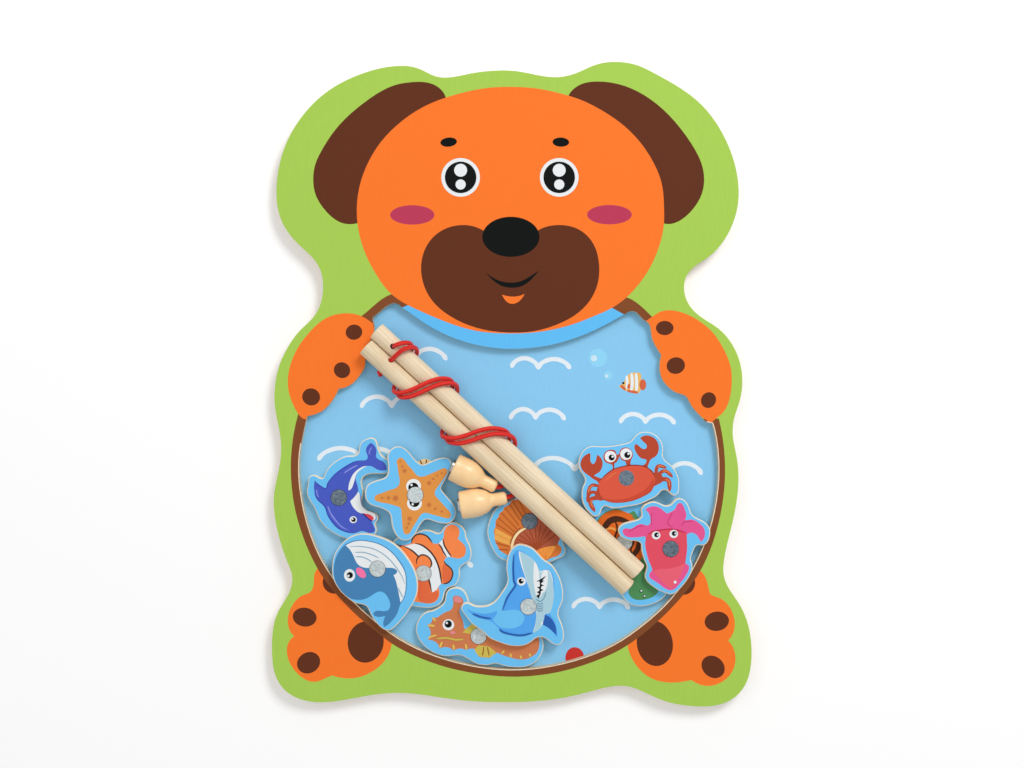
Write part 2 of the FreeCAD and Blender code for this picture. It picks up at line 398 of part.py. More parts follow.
            [(-13.7, -14.6), (-14, -12), (-14.2, -9.9), (-12.2, -9.4), (-9.9, -9.5),
             (-7.5, -10.3), (-3.5, -10.7), (1, -10.2), (5, -9), (8.5, -7.3), (11, -5.3),
             (12.3, -3.3), (14, -2.7), (16, -2), (17.5, -3.2)],
            [(18.7, -5.6), (19.1, -3.3), (18.9, -1.4), (19.4, -0.6)],
            [(20, 0.4), (18.9, 2.6), (17.2, 4.5), (15, 5.6), (13.6, 5.2), (13, 3.6), (12.3, 1.8),
             (11, 3.4), (9.3, 4.7), (9.8, 6.4), (10.6, 8), (12.5, 9.2), (13.9, 11.2),
             (14.2, 13.6), (13.4, 16.1), (11.6, 17.8), (9.4, 18.5), (7.4, 18.2)],
            [(6.2, 17.3), (6.9, 16.4), (7.8, 15.5), (8.8, 14.5), (8.9, 13.2), (8, 12.6),
             (6.8, 12.9), (5.5, 14)],
            [(4.2, 14.8), (3.6, 13.3), (4.1, 11.6), (5.3, 9.7), (7, 8.4), (8.7, 7.9),
             (8.5, 6.6), (7.3, 5.6), (4.8, 5.5), (2.1, 5.7), (2, 7.5), (2.9, 9.6),
             (2.4, 11.8), (0.9, 13.1), (-1.2, 13.1), (-2.7, 11.8), (-3.1, 10.5),
             (-3.9, 10.1), (-4.6, 11.6), (-6.4, 12.3), (-8.5, 11.7), (-9.8, 9.8),
             (-9.5, 7.6), (-8, 6.4), (-6.2, 5.8), (-5.9, 4.2), (-7.5, 2.8), (-9, 1.5),
             (-10.6, -0.1), (-12.4, 0.4), (-13.8, 1.1), (-12.1, 2.3), (-10.7, 4.1),
             (-10.2, 6.1), (-10.6, 8.1)],
            [(-12.5, 10.1), (-12.9, 8.5), (-13.4, 7), (-14.3, 6.1), (-15.3, 6.9), (-15.5, 8.8)],
        ],
    },
    "squid": {
        "place": (68.5, -71.2), "disc": (0, 0), "layer": "upper",
        "outline": [
            (-22.6, 7.8), (-22.3, 9.3), (-21, 10.6), (-18.6, 11.5), (-15.8, 12.2),
            (-13.7, 12.9), (-12.5, 14.4), (-12.7, 16.6), (-11.8, 18.6), (-10.2, 19.7),
            (-8, 20.4), (-5.8, 20.1), (-3.5, 19.1), (-1.4, 18.7), (0.4, 19.5), (1.8, 21),
            (3.7, 21.8), (5.6, 21.3), (7, 19.9), (8.1, 17.6), (9, 15.3), (10.8, 13.6),
            (13.2, 12.4), (15.5, 10.9), (16.8, 9), (17.1, 6.5), (16.5, 4.1), (15.2, 2.1),
            (13.2, 1.5), (11.4, 1.5), (10.3, 0.3), (9.4, -2), (8.7, -4.4), (9.3, -6.6),
            (9.3, -9), (8, -12.1), (6, -15), (3.8, -17.5), (1.7, -19.2), (-0.3, -19.7),
            (-2.5, -19), (-5, -18), (-7.5, -16.4), (-9.5, -14.8), (-10.9, -12.9),
            (-11.1, -11), (-10.6, -9.2), (-10.3, -7.6), (-11.1, -5.5), (-12.1, -2.5),
            (-12.6, 0), (-12.9, 2.3), (-14.2, 3.2), (-17, 3.5), (-20, 4.4), (-21.9, 5.9),
        ],
        "figure": [
            [(-20.8, 8), (-19.3, 8.9), (-17.3, 8.7), (-15, 10), (-12.5, 10.7), (-10, 10.2),
             (-9, 10.8), (-8.7, 12.5), (-8.9, 14.1)],
            [(-11, 16.9), (-9.5, 18), (-7, 18.4), (-4.5, 17.6), (-2.8, 16.2)],
            [(-1.5, 15.3), (0.5, 16.2), (2.2, 17.7), (3, 19.4), (4.3, 19.8), (5.5, 18.5),
             (6.4, 16.2), (6.7, 14), (6.3, 12.6), (8.5, 12.7), (11, 12), (13, 10.5),
             (14.5, 8.5), (14.8, 6.5), (14.3, 4.5)],
            [(13, 3.2), (12.2, 4.6), (11, 6.2), (9.3, 7), (7.5, 6.6), (6.5, 5.6), (6.9, 3.5),
             (7.1, 1), (6.9, -2), (6.4, -4.8), (6.5, -6.3), (7.6, -7), (7.9, -8.4),
             (7, -10.6), (5.5, -13), (3.8, -15), (2, -17), (0, -17.8), (-2, -17.3),
             (-4.5, -15.5), (-7.5, -13.5), (-9.2, -11.9), (-9, -10.4), (-8, -9.2),
             (-8.7, -6.8), (-10, -3.5), (-10.8, 0), (-11, 3), (-11, 5.2), (-13, 5.2),
             (-15.5, 5), (-18.2, 5.1), (-20.1, 6.1)],
        ],
    },
    "turtle": {
        "place": (55.55, -73.15), "disc": (-6.8, 4.5), "layer": "floor",
        "outline": [
            (-7.4, -19.3), (-5.6, -21.5), (-2.7, -23), (0.6, -23.4), (4.2, -22.8), (8, -21.3),
            (10.8, -19), (12.5, -15.5), (13.8, -11), (16, -7), (18.5, -3), (19.7, 2),
            (19, 7), (16.8, 11.5), (13.8, 15.2), (10, 18.8), (6, 21), (1, 21.7), (-4, 21.6),
            (-9, 21.8), (-14, 21), (-18, 18.5), (-20.8, 15), (-22, 11), (-21.3, 6.5),
            (-19, 2.2), (-17, -2), (-15, -6.5), (-12.8, -10.6), (-10.6, -14.2), (-8.9, -17),
        ],
        "figure": [
            (-4.8, -16), (-4.6, -18.4), (-2.8, -20.1), (0.4, -20.6), (3.8, -20), (6.8, -18.4),
            (8.2, -15.8), (8, -12.6), (9.6, -9.6), (13, -8.6), (15.6, -6), (15.4, -2.6),
            (12.4, -0.6), (11.6, 2.6), (12.8, 6), (14.6, 9.4), (13.4, 12.6), (10.2, 13.6),
            (7, 14.2), (3, 15), (-1, 15.6), (-2.6, 18), (-4.6, 17.2), (-8.4, 18.6),
            (-13, 18.4), (-17, 16), (-19.3, 12), (-19, 7.4), (-16.4, 3), (-13.6, -1.6),
            (-11, -6.6), (-8.2, -11),
        ],
    },
}

# White patches on the figures: belly, bands and whites of the eyes. Dark patches: the pupils.
WHITE_PATCHES = {
    "dolphin": [
        [[(12.4, 13.7), (9.9, 12.3), (7.8, 10.3), (7, 8), (6.2, 5.4), (5.4, 3.8)],
         [(4.2, 3.1), (4.3, 5.2), (4.9, 7.4), (6, 9.8), (8.3, 12.2), (10.4, 13.4)]],
        [[(8.4, 2.6), (9.3, 0.2), (9.5, -1.8), (10.4, -4), (12.3, -5.5), (14.4, -6.3),
          (15.9, -7.6), (16, -9)],
         [(14.5, -10), (13.2, -9.2), (11.8, -8)],
         [(10.3, -6.9), (8.6, -6.4), (6.9, -5), (5.6, -3.2)],
         [(5, -1.5), (6.2, -0.4), (7.5, 1.1)]],
    ],
    "whale": [
        [[(-16.1, 11.2), (-13.6, 12.5), (-10.5, 13.2), (-6.5, 12.9), (-2.1, 11.8), (2.3, 9.3),
          (5.2, 6.5), (7.6, 3.2), (9.3, -0.1), (9.9, -4), (9.7, -8), (8.9, -11.3)],
         [(7.6, -13.4), (7, -10.5), (6.4, -7.5), (5.7, -4.5)],
         [(4.5, -1.6), (5.8, -0.8)],
         [(6.2, 0.2), (4.8, 1.3), (2.6, 1.6), (-2, 1.7), (-6.5, 1.5), (-9.2, 2), (-11, 3.3),
          (-12.2, 5.5), (-13.4, 8.1), (-14.8, 10)]],
    ],
    "clownfish": [
        [[(-8.8, 11.9), (-6.3, 12.3), (-3.6, 12.9), (-1, 12.4), (1.5, 10.8), (3.8, 8.5),
          (5.6, 5.6), (6.9, 2), (7.6, -1.8)],
         [(7.9, -4.4), (6.9, -5.3)],
         [(6, -6.8), (4.4, -8.2)],
         [(3.6, -8), (3, -5), (2.2, -2), (1, 2), (-0.6, 5.4), (-2.8, 8), (-5.4, 10.2)]],
        [[(6.6, 12.7), (8.3, 14.4)],
         [(9.1, 12.2), (10.6, 9.6)],
         [(12.2, 7.4), (10.1, 7.1)],
         [(8.4, 9.9)]],
    ],
    "shark": [
        [[(-0.6, 17.8), (1.5, 17), (3.9, 15.2), (6, 13.2), (7.5, 11.2)],
         [(7.9, 9.8), (9.4, 9.6), (10.8, 9.8), (12.2, 9.7), (13.5, 7.8), (14.2, 4.9),
          (14.3, 1.6), (14, -2), (13.3, -5.5)],
         [(12.5, -8.6), (10.6, -9.6), (10, -12), (9.4, -14.4), (8, -15.8), (6.6, -16.6)],
         [(5.4, -17.2), (6.3, -14.6), (6.9, -11.5), (6.8, -8), (5.9, -4.5), (4.6, -0.5),
          (3.3, 3.5), (1.9, 7.6), (0.4, 12)]],
    ],
}
WHITE_EYES = {
    "dolphin": [((6.3, -9.6), 1.6, 1.5, 0)],
    "starfish": [((-0.7, 3.6), 3.2, 3.1, 0), ((-0.3, -3.8), 3.2, 3.1, 0)],
    "whale": [((-14.4, -1.7), 2.7, 2.4, 90)],
    "seahorse": [((-13.1, 4.9), 2.5, 2.4, 0)],
    "shark": [((0.6, 4.8), 1.9, 1.8, 0)],
    "crab": [((-6.8, 9.3), 2.5, 2.45, 0), ((0, 10.4), 2.55, 2.5, 0)],
    "squid": [((-6.3, 5.9), 2, 1.65, 90), ((1.3, 6.5), 2, 1.65, 90)],
}
PUPILS = {
    "dolphin": [((6.4, -9.6), 1.0, 1.0, 0)],
    "starfish": [((-0.8, 3), 2.2, 2.1, 0), ((-0.3, -3.3), 2.2, 2.1, 0)],
    "whale": [((-14.3, -1.6), 1.35, 1.35, 0)],
    "seahorse": [((-13.2, 5.2), 1.6, 1.6, 0)],
    "shark": [((0.4, 4.9), 1.1, 1.1, 0)],
    "crab": [((-6.3, 8.9), 1.3, 1.3, 0), ((0.5, 10), 1.35, 1.35, 0)],
    "squid": [((-6.2, 6.1), 0.95, 0.9, 0), ((1.4, 6.8), 0.95, 0.9, 0)],
}

# The rods lie side by side. Their frame starts between their left ends.
RODS_START = (-60.55, 19.4)
RODS_POINT_ALONG = (0.7353, -0.6777)
UPPER_ROD_SHIFT = -0.9
LOWER_ROD_SHIFT = 0.5
LOWER_HOLE_SLANT = 40

# Cord routes in the rods' frame: along the rods, across them toward the head, and up from
# their axes. Each cord is knotted below its rod, passes through the rod, winds round both
# rods and ends in its magnet's holder.
UPPER_CORD = [
    (9.2, 4.05, -4.7), (9.2, 4.05, 6.6), (11.8, 8.8, 6.7), (14.4, 10.4, -0.6), (16.6, 6.2, -6),
    (19.4, -5.4, -6), (21.8, -10.3, -1.4), (24.2, -9.6, 4), (27.2, -6, 5.5), (31.6, 5.4, 5.5),
    (35.4, 9.7, 4), (38.2, 10.3, -1.6), (40.8, 6.2, -6), (47.6, -5.4, -6), (50.2, -10.3, -1.4),
    (52.4, -9.6, 4), (56.4, -6.2, 5.5), (62.2, 5.4, 5.5), (67.4, 9.7, 4), (71.6, 10.3, -1.6),
    (74.6, 6, -5.8), (79.8, 0.4, -6.3), (84.6, -5.6, -5.6),
]
LOWER_CORD = [
    (12.5, -7.66, -3.03), (12.5, 3.5, 6.35), (14.8, 9.2, 5.8), (17.4, 10.4, -1), (19.4, 6.2, -6),
    (22.2, -5.4, -6), (24.5, -10.3, -1.4), (27, -9.6, 4), (30, -6, 5.5), (34.4, 5.4, 5.5),
    (38.2, 9.7, 4), (41, 10.3, -1.6), (43.6, 6.2, -6), (50.4, -5.4, -6), (52.9, -10.3, -1.4),
    (55.5, -9.6, 4), (59.6, -6.2, 5.5), (65.5, 5.4, 5.5), (70.8, 9.7, 4), (75, 10.3, -1.6),
    (78, 6, -6), (84.2, 0.8, -6.4), (91, -6.5, -6.2),
]
CORD_LEAVES_HOLDER = 1.7

# The magnet holders lie on the pond's floor: base centre in the rods' frame, and heading
# from the rods' heading.
HOLDERS = {
    "upper": {"base": (63.44, -16.6), "heading": 17.07},
    "lower": {"base": (76.79, -26.87), "heading": 51.87},
}
# Holder flank, as shares of its length and of the half width above its neck.
HOLDER_FLANK = [(0.03, 0.95), (0.18, 0.97), (0.33, 0.98), (0.48, 0.78), (0.6, 0.42), (0.68, 0.07)]
HOLDER_TIP_SHARE = 0.66

doc = FreeCAD.newDocument("fishing_game")
sheet = doc.addObject("Spreadsheet::Sheet", "Sizes")
for row, (alias, value) in enumerate(SIZES.items(), start=1):
    sheet.set("A%d" % row, str(value))
    sheet.setAlias("A%d" % row, alias)
doc.recompute()


def size(alias):
    """A driving dimension, read from the sheet."""
    return float(getattr(sheet, alias))


stretch_x = size("board_width") / DRAWN_WIDTH
stretch_y = size("board_length") / DRAWN_LENGTH
ellipse_stretch = math.sqrt(stretch_x * stretch_y)
rods_heading = Vector(RODS_POINT_ALONG[0] * stretch_x, RODS_POINT_ALONG[1] * stretch_y, 0)
rods_turn = Rotation(Vector(1, 0, 0), rods_heading)
floor_top = size("back_thickness")
frame_top = floor_top + size("frame_thickness")
tile_top = floor_top + size("tile_thickness")
upper_layer = max(tile_top, frame_top)
rod_radius = size("rod_diameter") / 2
rods_height = upper_layer + rod_radius
cord_radius = size("cord_diameter") / 2
holder_radius = size("holder_diameter") / 2


def point(x, y, z=0.0):
    """A drawn point, stretched with the board."""
    return Vector(x * stretch_x, y * stretch_y, z)


def spline(points, closed):
    """A smooth curve through points."""
    curve = Part.BSplineCurve()
    curve.interpolate(Points=points, PeriodicFlag=closed)
    return curve


def in_pieces(curve):
    """A long curve cut into shorter ones, which keeps the volumes of its solids exact."""
    knots = curve.getKnots()
    pieces = []
    for first in range(0, len(knots) - 1, SPANS_PER_PIECE):
        piece = curve.copy()
        piece.segment(knots[first], knots[min(first + SPANS_PER_PIECE, len(knots) - 1)])
        pieces.append(piece)
    return pieces


def outline_curves(outline):
    """The curves of a closed outline: one smooth loop, or strokes that meet at corners."""
    if isinstance(outline[0], tuple):
        return in_pieces(spline([point(*p) for p in outline], True))
    curves = []
    for number, stroke in enumerate(outline):
        after = outline[(number + 1) % len(outline)]
        points = [point(*p) for p in stroke + after[:1]]
        if len(points) == 2:
            curves.append(Part.LineSegment(points[0], points[1]))
        else:
            curves += in_pieces(spline(points, False))
    return curves


def outline_face(outline):
    """A flat face inside a closed outline."""
    return Part.Face(Part.Wire([curve.toShape() for curve in outline_curves(outline)]))


def ellipse_face(centre, half_length, half_height, turn):
    """A flat ellipse, or a circle where its halves are equal."""
    middle = point(*centre)
    length, height = half_length * ellipse_stretch, half_height * ellipse_stretch
    if length == height:
        return Part.Face(Part.Wire([Part.Circle(middle, Vector(0, 0, 1), length).toShape()]))
    long_side = Vector(math.cos(math.radians(turn)), math.sin(math.radians(turn)), 0)
    tip = middle + long_side * length
    flank = middle + Vector(-long_side.y, long_side.x, 0) * height
    return Part.Face(Part.Wire([Part.Ellipse(tip, flank, middle).toShape()]))


def origin_plane(body, role):
    """One of a body's own origin planes."""
    return next(plane for plane in body.Origin.OriginFeatures if plane.Role == role)


def new_body(label):
    """An empty body named as its node."""
    body = doc.addObject("PartDesign::Body", label)
    body.Label = label
    doc.recompute()
    return body


def new_sketch(body, name, role, height=None):
    """A sketch on a body's origin plane, lifted by an expression on the sheet."""
    sketch = body.newObject("Sketcher::SketchObject", name)
    sketch.AttachmentSupport = [(origin_plane(body, role), "")]
    sketch.MapMode = "FlatFace"
    if height:
        sketch.setExpression("AttachmentOffset.Base.z", height)
    doc.recompute()
    return sketch


def add_outline(sketch, outline):
    """Draws a closed outline in a sketch."""
    for curve in outline_curves(outline):
        sketch.addGeometry(curve, False)


def add_circle(sketch, centre, diameter, name):
    """Draws a circle whose radius is bound to the sheet."""
    geometry = sketch.addGeometry(Part.Circle(centre, Vector(0, 0, 1), 1.0), False)
    constraint = sketch.addConstraint(Sketcher.Constraint("Radius", geometry, 1.0))
    sketch.renameConstraint(constraint, name)
    sketch.setExpression("Constraints." + name, "Sizes.%s / 2" % diameter)


def pad(body, sketch, name, length):
    """A pad whose length is an expression on the sheet."""
    feature = body.newObject("PartDesign::Pad", name)
    feature.Profile = sketch
    feature.setExpression("Length", length)
    doc.recompute()
    return feature


def pocket(body, sketch, name, depth=None):
    """A pocket down from its sketch, checked by the volume that it takes away."""
    before = body.Shape.Volume
    feature = body.newObject("PartDesign::Pocket", name)
    feature.Profile = sketch
    if depth:
        feature.setExpression("Length", depth)
    else:
        feature.Type = "ThroughAll"
        feature.Midplane = True
    doc.recompute()
    if not feature.Shape.Volume < before:
        raise ValueError(name + " cuts nothing")
    return feature


def solid_part(label, shapes, placement=Placement()):
    """A node whose solids are made directly."""
    feature = doc.addObject("Part::Feature", label)
    feature.Label = label
    feature.Shape = shapes[0] if len(shapes) == 1 else Part.makeCompound(shapes)
    feature.Placement = placement
    return feature


def bevel_edges(body, name, bevel, wanted):
    """Bevels the edges of a body that a test picks out."""
    base = body.Tip
    edges = ["Edge%d" % (number + 1) for number, edge in enumerate(base.Shape.Edges) if wanted(edge)]
    chamfer = body.newObject("PartDesign::Chamfer", name)
    chamfer.Base = (base, edges)
    chamfer.setExpression("Size", bevel)
    doc.recompute()


def lies_at(edge, height):
    """Whether an edge lies flat at a height."""
    box = edge.BoundBox
    return abs(box.ZMin - height) < 1e-6 and abs(box.ZMax - height) < 1e-6


def make_boards():
    """The back board, with the shallow bed of the printed water, and the frame on it."""
    back = new_body("back_board")
    blank = new_sketch(back, "back_outline", "XY_Plane")
    add_outline(blank, BOARD)
    pad(back, blank, "back_plate", "Sizes.back_thickness")
    bed = new_sketch(back, "water_bed_outline", "XY_Plane", "Sizes.back_thickness")
    add_outline(bed, POND)
    pocket(back, bed, "water_bed", "Sizes.print_depth")

    frame = new_body("frame_board")
    ring = new_sketch(frame, "frame_outline", "XY_Plane")
    add_outline(ring, BOARD)
    add_outline(ring, POND)
    pad(frame, ring, "frame_plate", "Sizes.frame_thickness - Sizes.print_depth")
    frame.Placement = Placement(Vector(0, 0, floor_top), Rotation())


def painted_fields(ground, layers):
    """Print fields side by side: each layer hides what lies under it, and stays on the ground."""
    fields = {}
    covered = None
    for colour, faces in reversed(layers):
        for face in reversed(faces):
            shown = face.common(ground)
            if covered is not None:
                shown = shown.cut(covered)
            fields.setdefault(colour, []).extend(shown.Faces)
            covered = face if covered is None else covered.fuse(face)
    return fields


def print_node(label, faces, height):
    """A node of thin print fields whose tops lie at a height."""
    depth = size("print_depth")
    solids = []
    for face in Part.makeCompound(faces).Faces:
        lifted = face.copy()
        lifted.translate(Vector(0, 0, height - depth))
        solids.append(lifted.extrude(Vector(0, 0, depth)))
    return solid_part(label, solids)


def outline_faces(*outlines):
    """A face inside each outline."""
    return [outline_face(outline) for outline in outlines]


def ellipse_faces(ellipses):
    """A face for each ellipse."""
    return [ellipse_face(*ellipse) for ellipse in ellipses]


def eye_faces(rise, key):
    """The same circle on both eyes, above their centres by the rise."""
    return [ellipse_face((x, y + rise), EYE_RADII[key], EYE_RADII[key], 0) for x, y in EYES]


def make_frame_print():
    """The bear and the grass, printed on the frame."""
    ground = outline_face(BOARD).cut(outline_face(POND))
    layers = [
        ("green", [outline_face(BOARD)]),
        ("orange", outline_faces(LEFT_FOOT, RIGHT_FOOT)),
        ("brown", ellipse_faces(LEFT_PADS + RIGHT_PADS + RIM_LOBES)),
        ("rim", outline_faces(LOWER_RING, UPPER_LEFT_RING, UPPER_RIGHT_RING)),
        ("band", outline_faces(CHIN_BAND)),
        ("brown", outline_faces(LEFT_EAR, RIGHT_EAR)),
        ("orange", outline_faces(HEAD, LEFT_PAW, RIGHT_PAW)),
        ("brown", outline_faces(MUZZLE) + ellipse_faces(PAW_PADS)),
        ("cheek", ellipse_faces(CHEEKS)),
        ("orange", outline_faces(TONGUE)),
        ("black", outline_faces(SMILE) + ellipse_faces(BROWS + NOSE)),
        ("white", eye_faces(0, "white")),
        ("black", eye_faces(0, "black")),
        ("white", eye_faces(EYE_LIGHT_RISE, "upper_light")),
        ("white", eye_faces(-EYE_LIGHT_RISE, "lower_light")),
    ]
    for colour, faces in painted_fields(ground, layers).items():
        print_node("frame_print_" + colour, faces, frame_top)


def hump_face(start, end, rise):
    """A bowed brush stroke with round ends."""
    middle = [Vector(start[0] + along * (end[0] - start[0]), start[1] + along * (end[1] - start[1])
                     + lift * rise, 0) for along, lift in HUMP]
    over = []
    under = []
    for number, place in enumerate(middle):
        before = middle[max(number - 1, 0)]
        after = middle[min(number + 1, len(middle) - 1)]
        side = Vector(before.y - after.y, after.x - before.x, 0).normalize() * WAVE_WIDTH / 2
        over.append((place + side)[:2])
        under.append((place - side)[:2])
    caps = [end_place + (end_place - inner).normalize() * WAVE_WIDTH / 2
            for end_place, inner in ((middle[0], middle[1]), (middle[-1], middle[-2]))]
    return outline_face([tuple(caps[0][:2]), *map(tuple, over), tuple(caps[1][:2]),
                         *map(tuple, reversed(under))])


def make_pond_print():
    """The water and its marks, printed on the back board."""
    ground = outline_face(POND)
    humps = []
    for left, dip, right, rise in WAVES:
        humps += [hump_face(left, dip, rise), hump_face(dip, right, rise)]
    layers = [
        ("water", [outline_face(POND)]),
        ("foam", humps + ellipse_faces([SHORT_WAVE])),
        ("bubbles", ellipse_faces(BUBBLES)),
        ("coral", ellipse_faces(CORAL + [FISH_TAIL])),
        ("striped_fish", [outline_face(STRIPED_FISH)]),
    ]
    for colour, faces in painted_fields(ground, layers).items():
        print_node("pond_print_" + colour, faces, floor_top)


def tile_seat(tile):
    """Where a tile lies: flat on a level, or tipped onto its three points of rest."""
    x, y = tile["place"][0] * stretch_x, tile["place"][1] * stretch_y
    levels = {"floor": floor_top, "tile": tile_top}
    if tile["layer"] != "leaning":
        return Placement(Vector(x, y, floor_top if tile["layer"] == "floor" else upper_layer), Rotation())
    rests = [point(px, py, levels[level]) for (px, py), level in tile["rests"]]
    normal = (rests[1] - rests[0]).cross(rests[2] - rests[0]).normalize()
    if normal.z < 0:
        normal = normal * -1
    drop = normal.x * (x - rests[0].x) + normal.y * (y - rests[0].y)
    height = rests[0].z - drop / normal.z + size("seat_clearance")
    return Placement(Vector(x, y, height), Rotation(Vector(0, 0, 1), normal))


def make_tile(name, tile):
    """One animal: the wooden tile, its steel disc, and its printed figure, all flush on top."""
    seat = tile_seat(tile)
    disc_centre = point(*tile["disc"])
    wood = new_body(name + "_tile")
    blank = new_sketch(wood, name + "_outline", "XY_Plane")
    add_outline(blank, tile["outline"])
    pad(wood, blank, name + "_plate", "Sizes.tile_thickness")
    bevel_edges(wood, name + "_edge_bevel", "Sizes.tile_edge_bevel",
                lambda edge: lies_at(edge, size("tile_thickness")))
    inlay = new_sketch(wood, name + "_inlay", "XY_Plane", "Sizes.tile_thickness")
    add_outline(inlay, tile["figure"])
    pocket(wood, inlay, name + "_inlay_bed", "Sizes.print_depth")
    bore = new_sketch(wood, name + "_bore", "XY_Plane", "Sizes.tile_thickness")
    add_circle(bore, disc_centre, "disc_diameter", "bore_radius")
    pocket(wood, bore, name + "_disc_seat", "Sizes.disc_thickness")
    wood.Placement = seat

    disc = doc.addObject("Part::Cylinder", name + "_disc")
    disc.Label = name + "_disc"
    disc.setExpression("Radius", "Sizes.disc_diameter / 2")
    disc.setExpression("Height", "Sizes.disc_thickness")
    lift = Vector(0, 0, size("tile_thickness") - size("disc_thickness"))
    disc.Placement = seat.multiply(Placement(disc_centre + lift, Rotation()))

    hole = Part.Face(Part.Wire([Part.Circle(disc_centre, Vector(0, 0, 1), size("disc_diameter") / 2).toShape()]))
    whites = [outline_face(outline) for outline in WHITE_PATCHES.get(name, [])]
    whites += [ellipse_face(*eye) for eye in WHITE_EYES.get(name, [])]
    pupils = [ellipse_face(*eye) for eye in PUPILS.get(name, [])]
    figure = outline_face(tile["figure"])
    layers = [("figure", [figure]), ("white", whites), ("dark", pupils), ("disc", [hole])]
    fields = painted_fields(figure, layers)
    top = size("tile_thickness")
    node = print_node(name + "_figure", fields["figure"], top)
    node.Placement = seat
    return {"white": (fields.get("white", []), seat), "dark": (fields.get("dark", []), seat)}


def make_tiles():
    """All ten tiles, with the white and dark patches of their prints as two groups."""
    groups = {"white": [], "dark": []}
    depth = size("print_depth")
    base = size("tile_thickness") - depth
    for name, tile in TILES.items():
        for group, (faces, seat) in make_tile(name, tile).items():
            for face in faces:
                lifted = face.copy()
                lifted.translate(Vector(0, 0, base))
                solid = lifted.extrude(Vector(0, 0, depth))
                solid.Placement = seat.multiply(solid.Placement)
                groups[group].append(solid)
    solid_part("figure_whites", groups["white"])
    solid_part("figure_pupils", groups["dark"])


def rods_frame(along, across, up):
    """A point of the rods' own frame, on the board."""
    start = point(*RODS_START)
    return start + rods_turn.multVec(Vector(along, across, up)) + Vector(0, 0, rods_height)


def make_rod(label, side, shift, hole_place, roll):
    """A dowel with bevelled ends and a cross hole for its cord."""
    rod = new_body(label)
    section = new_sketch(rod, label + "_section", "YZ_Plane")
    add_circle(section, Vector(0, 0, 0), "rod_diameter", "rod_radius")
    pad(rod, section, label + "_dowel", "Sizes.rod_length")
    bevel_edges(rod, label + "_end_bevels", "Sizes.rod_end_bevel",
                lambda edge: isinstance(edge.Curve, Part.Circle))
    cross = new_sketch(rod, label + "_cross_hole", "XY_Plane")
    add_circle(cross, Vector(size(hole_place), 0, 0), "rod_hole_diameter", "hole_radius")
    pocket(rod, cross, label + "_cord_hole")
    turn = rods_turn.multiply(Rotation(Vector(1, 0, 0), roll))
    across = side * (rod_radius + size("rod_gap") / 2)
    rod.Placement = Placement(rods_frame(shift, across, 0), turn)


def holder_axis(holder):
    """A lying holder's base centre and heading."""
    base = rods_frame(*holder["base"], 0)
    base.z = floor_top + holder_radius + size("seat_clearance")
    heading = math.radians(holder["heading"])
    return base, rods_turn.multVec(Vector(math.cos(heading), math.sin(heading), 0))


def make_holder(name, holder):
    """A bottle shaped holder, bored for its cord at the tip and for its magnet at the base."""
    length = size("holder_length")
    neck = size("holder_neck_diameter") / 2
    bore = cord_radius + size("holder_bore_clearance")
    magnet_radius = size("magnet_diameter") / 2
    magnet_bed = size("magnet_thickness") - size("magnet_stand_out")
    body = new_body(name + "_magnet_holder")
    profile = new_sketch(body, name + "_holder_profile", "XZ_Plane")
    flank = [Vector(neck + share * (holder_radius - neck), place * length, 0) for place, share in HOLDER_FLANK]
    flank.append(Vector(neck, length * 0.74, 0))
    shoulder = Vector(neck, length * 0.9, 0)
    tip = Vector(neck * HOLDER_TIP_SHARE, length, 0)
    seat = length - size("cord_grip_depth")
    corners = [
        Vector(0, magnet_bed, 0), Vector(magnet_radius, magnet_bed, 0), Vector(magnet_radius, 0, 0),
        Vector(flank[0].x - 0.4, 0, 0), flank[0],
    ]
    for start, end in zip(corners, corners[1:]):
        profile.addGeometry(Part.LineSegment(start, end), False)
    profile.addGeometry(spline(flank, False), False)
    profile.addGeometry(Part.LineSegment(flank[-1], shoulder), False)
    bulge = Vector((shoulder.x + tip.x) / 2 + 0.35, (shoulder.y + tip.y) / 2 + 0.25, 0)
    profile.addGeometry(Part.Arc(shoulder, bulge, tip), False)
    inner = [tip, Vector(bore, length, 0), Vector(bore, seat, 0), Vector(0, seat, 0), corners[0]]
    for start, end in zip(inner, inner[1:]):
        profile.addGeometry(Part.LineSegment(start, end), False)
    turned = body.newObject("PartDesign::Revolution", name + "_holder_turned")
    turned.Profile = profile
    turned.ReferenceAxis = (profile, ["V_Axis"])
    turned.Angle = 360
    doc.recompute()
    base, axis = holder_axis(holder)
    body.Placement = Placement(base, Rotation(Vector(0, 0, 1), axis))

    magnet = doc.addObject("Part::Cylinder", name + "_magnet")
    magnet.Label = name + "_magnet"
    magnet.setExpression("Radius", "Sizes.magnet_diameter / 2")
    magnet.setExpression("Height", "Sizes.magnet_thickness")
    magnet.Placement = Placement(base - axis * size("magnet_stand_out"), Rotation(Vector(0, 0, 1), axis))


def cord_segments(route, radius):
    """Round bars along the runs of a route, and bent bars of a torus at its corners."""
    solids = []
    radii = []
    length = 0.0
    start = route[0]
    for before, corner, after in zip(route, route[1:], route[2:]):
        into, out = corner - before, after - corner
        turn = into.getAngle(out)
        reach = 0.45 * min(into.Length, out.Length)
        bend = reach / math.tan(turn / 2)
        first = corner - Vector(into).normalize() * reach
        last = corner + Vector(out).normalize() * reach
        solids.append(Part.makeCylinder(radius, (first - start).Length, start, first - start))
        axis = into.cross(out).normalize()
        centre = first + axis.cross(into).normalize() * bend
        ring = Part.Face(Part.Wire([Part.Circle(first, into, radius).toShape()]))
        solids.append(ring.revolve(centre, axis, math.degrees(turn)))
        length += (first - start).Length + bend * turn
        radii.append(round(bend, 1))
        start = last
    solids.append(Part.makeCylinder(radius, (route[-1] - start).Length, start, route[-1] - start))
    length += (route[-1] - start).Length
    return solids, length, radii


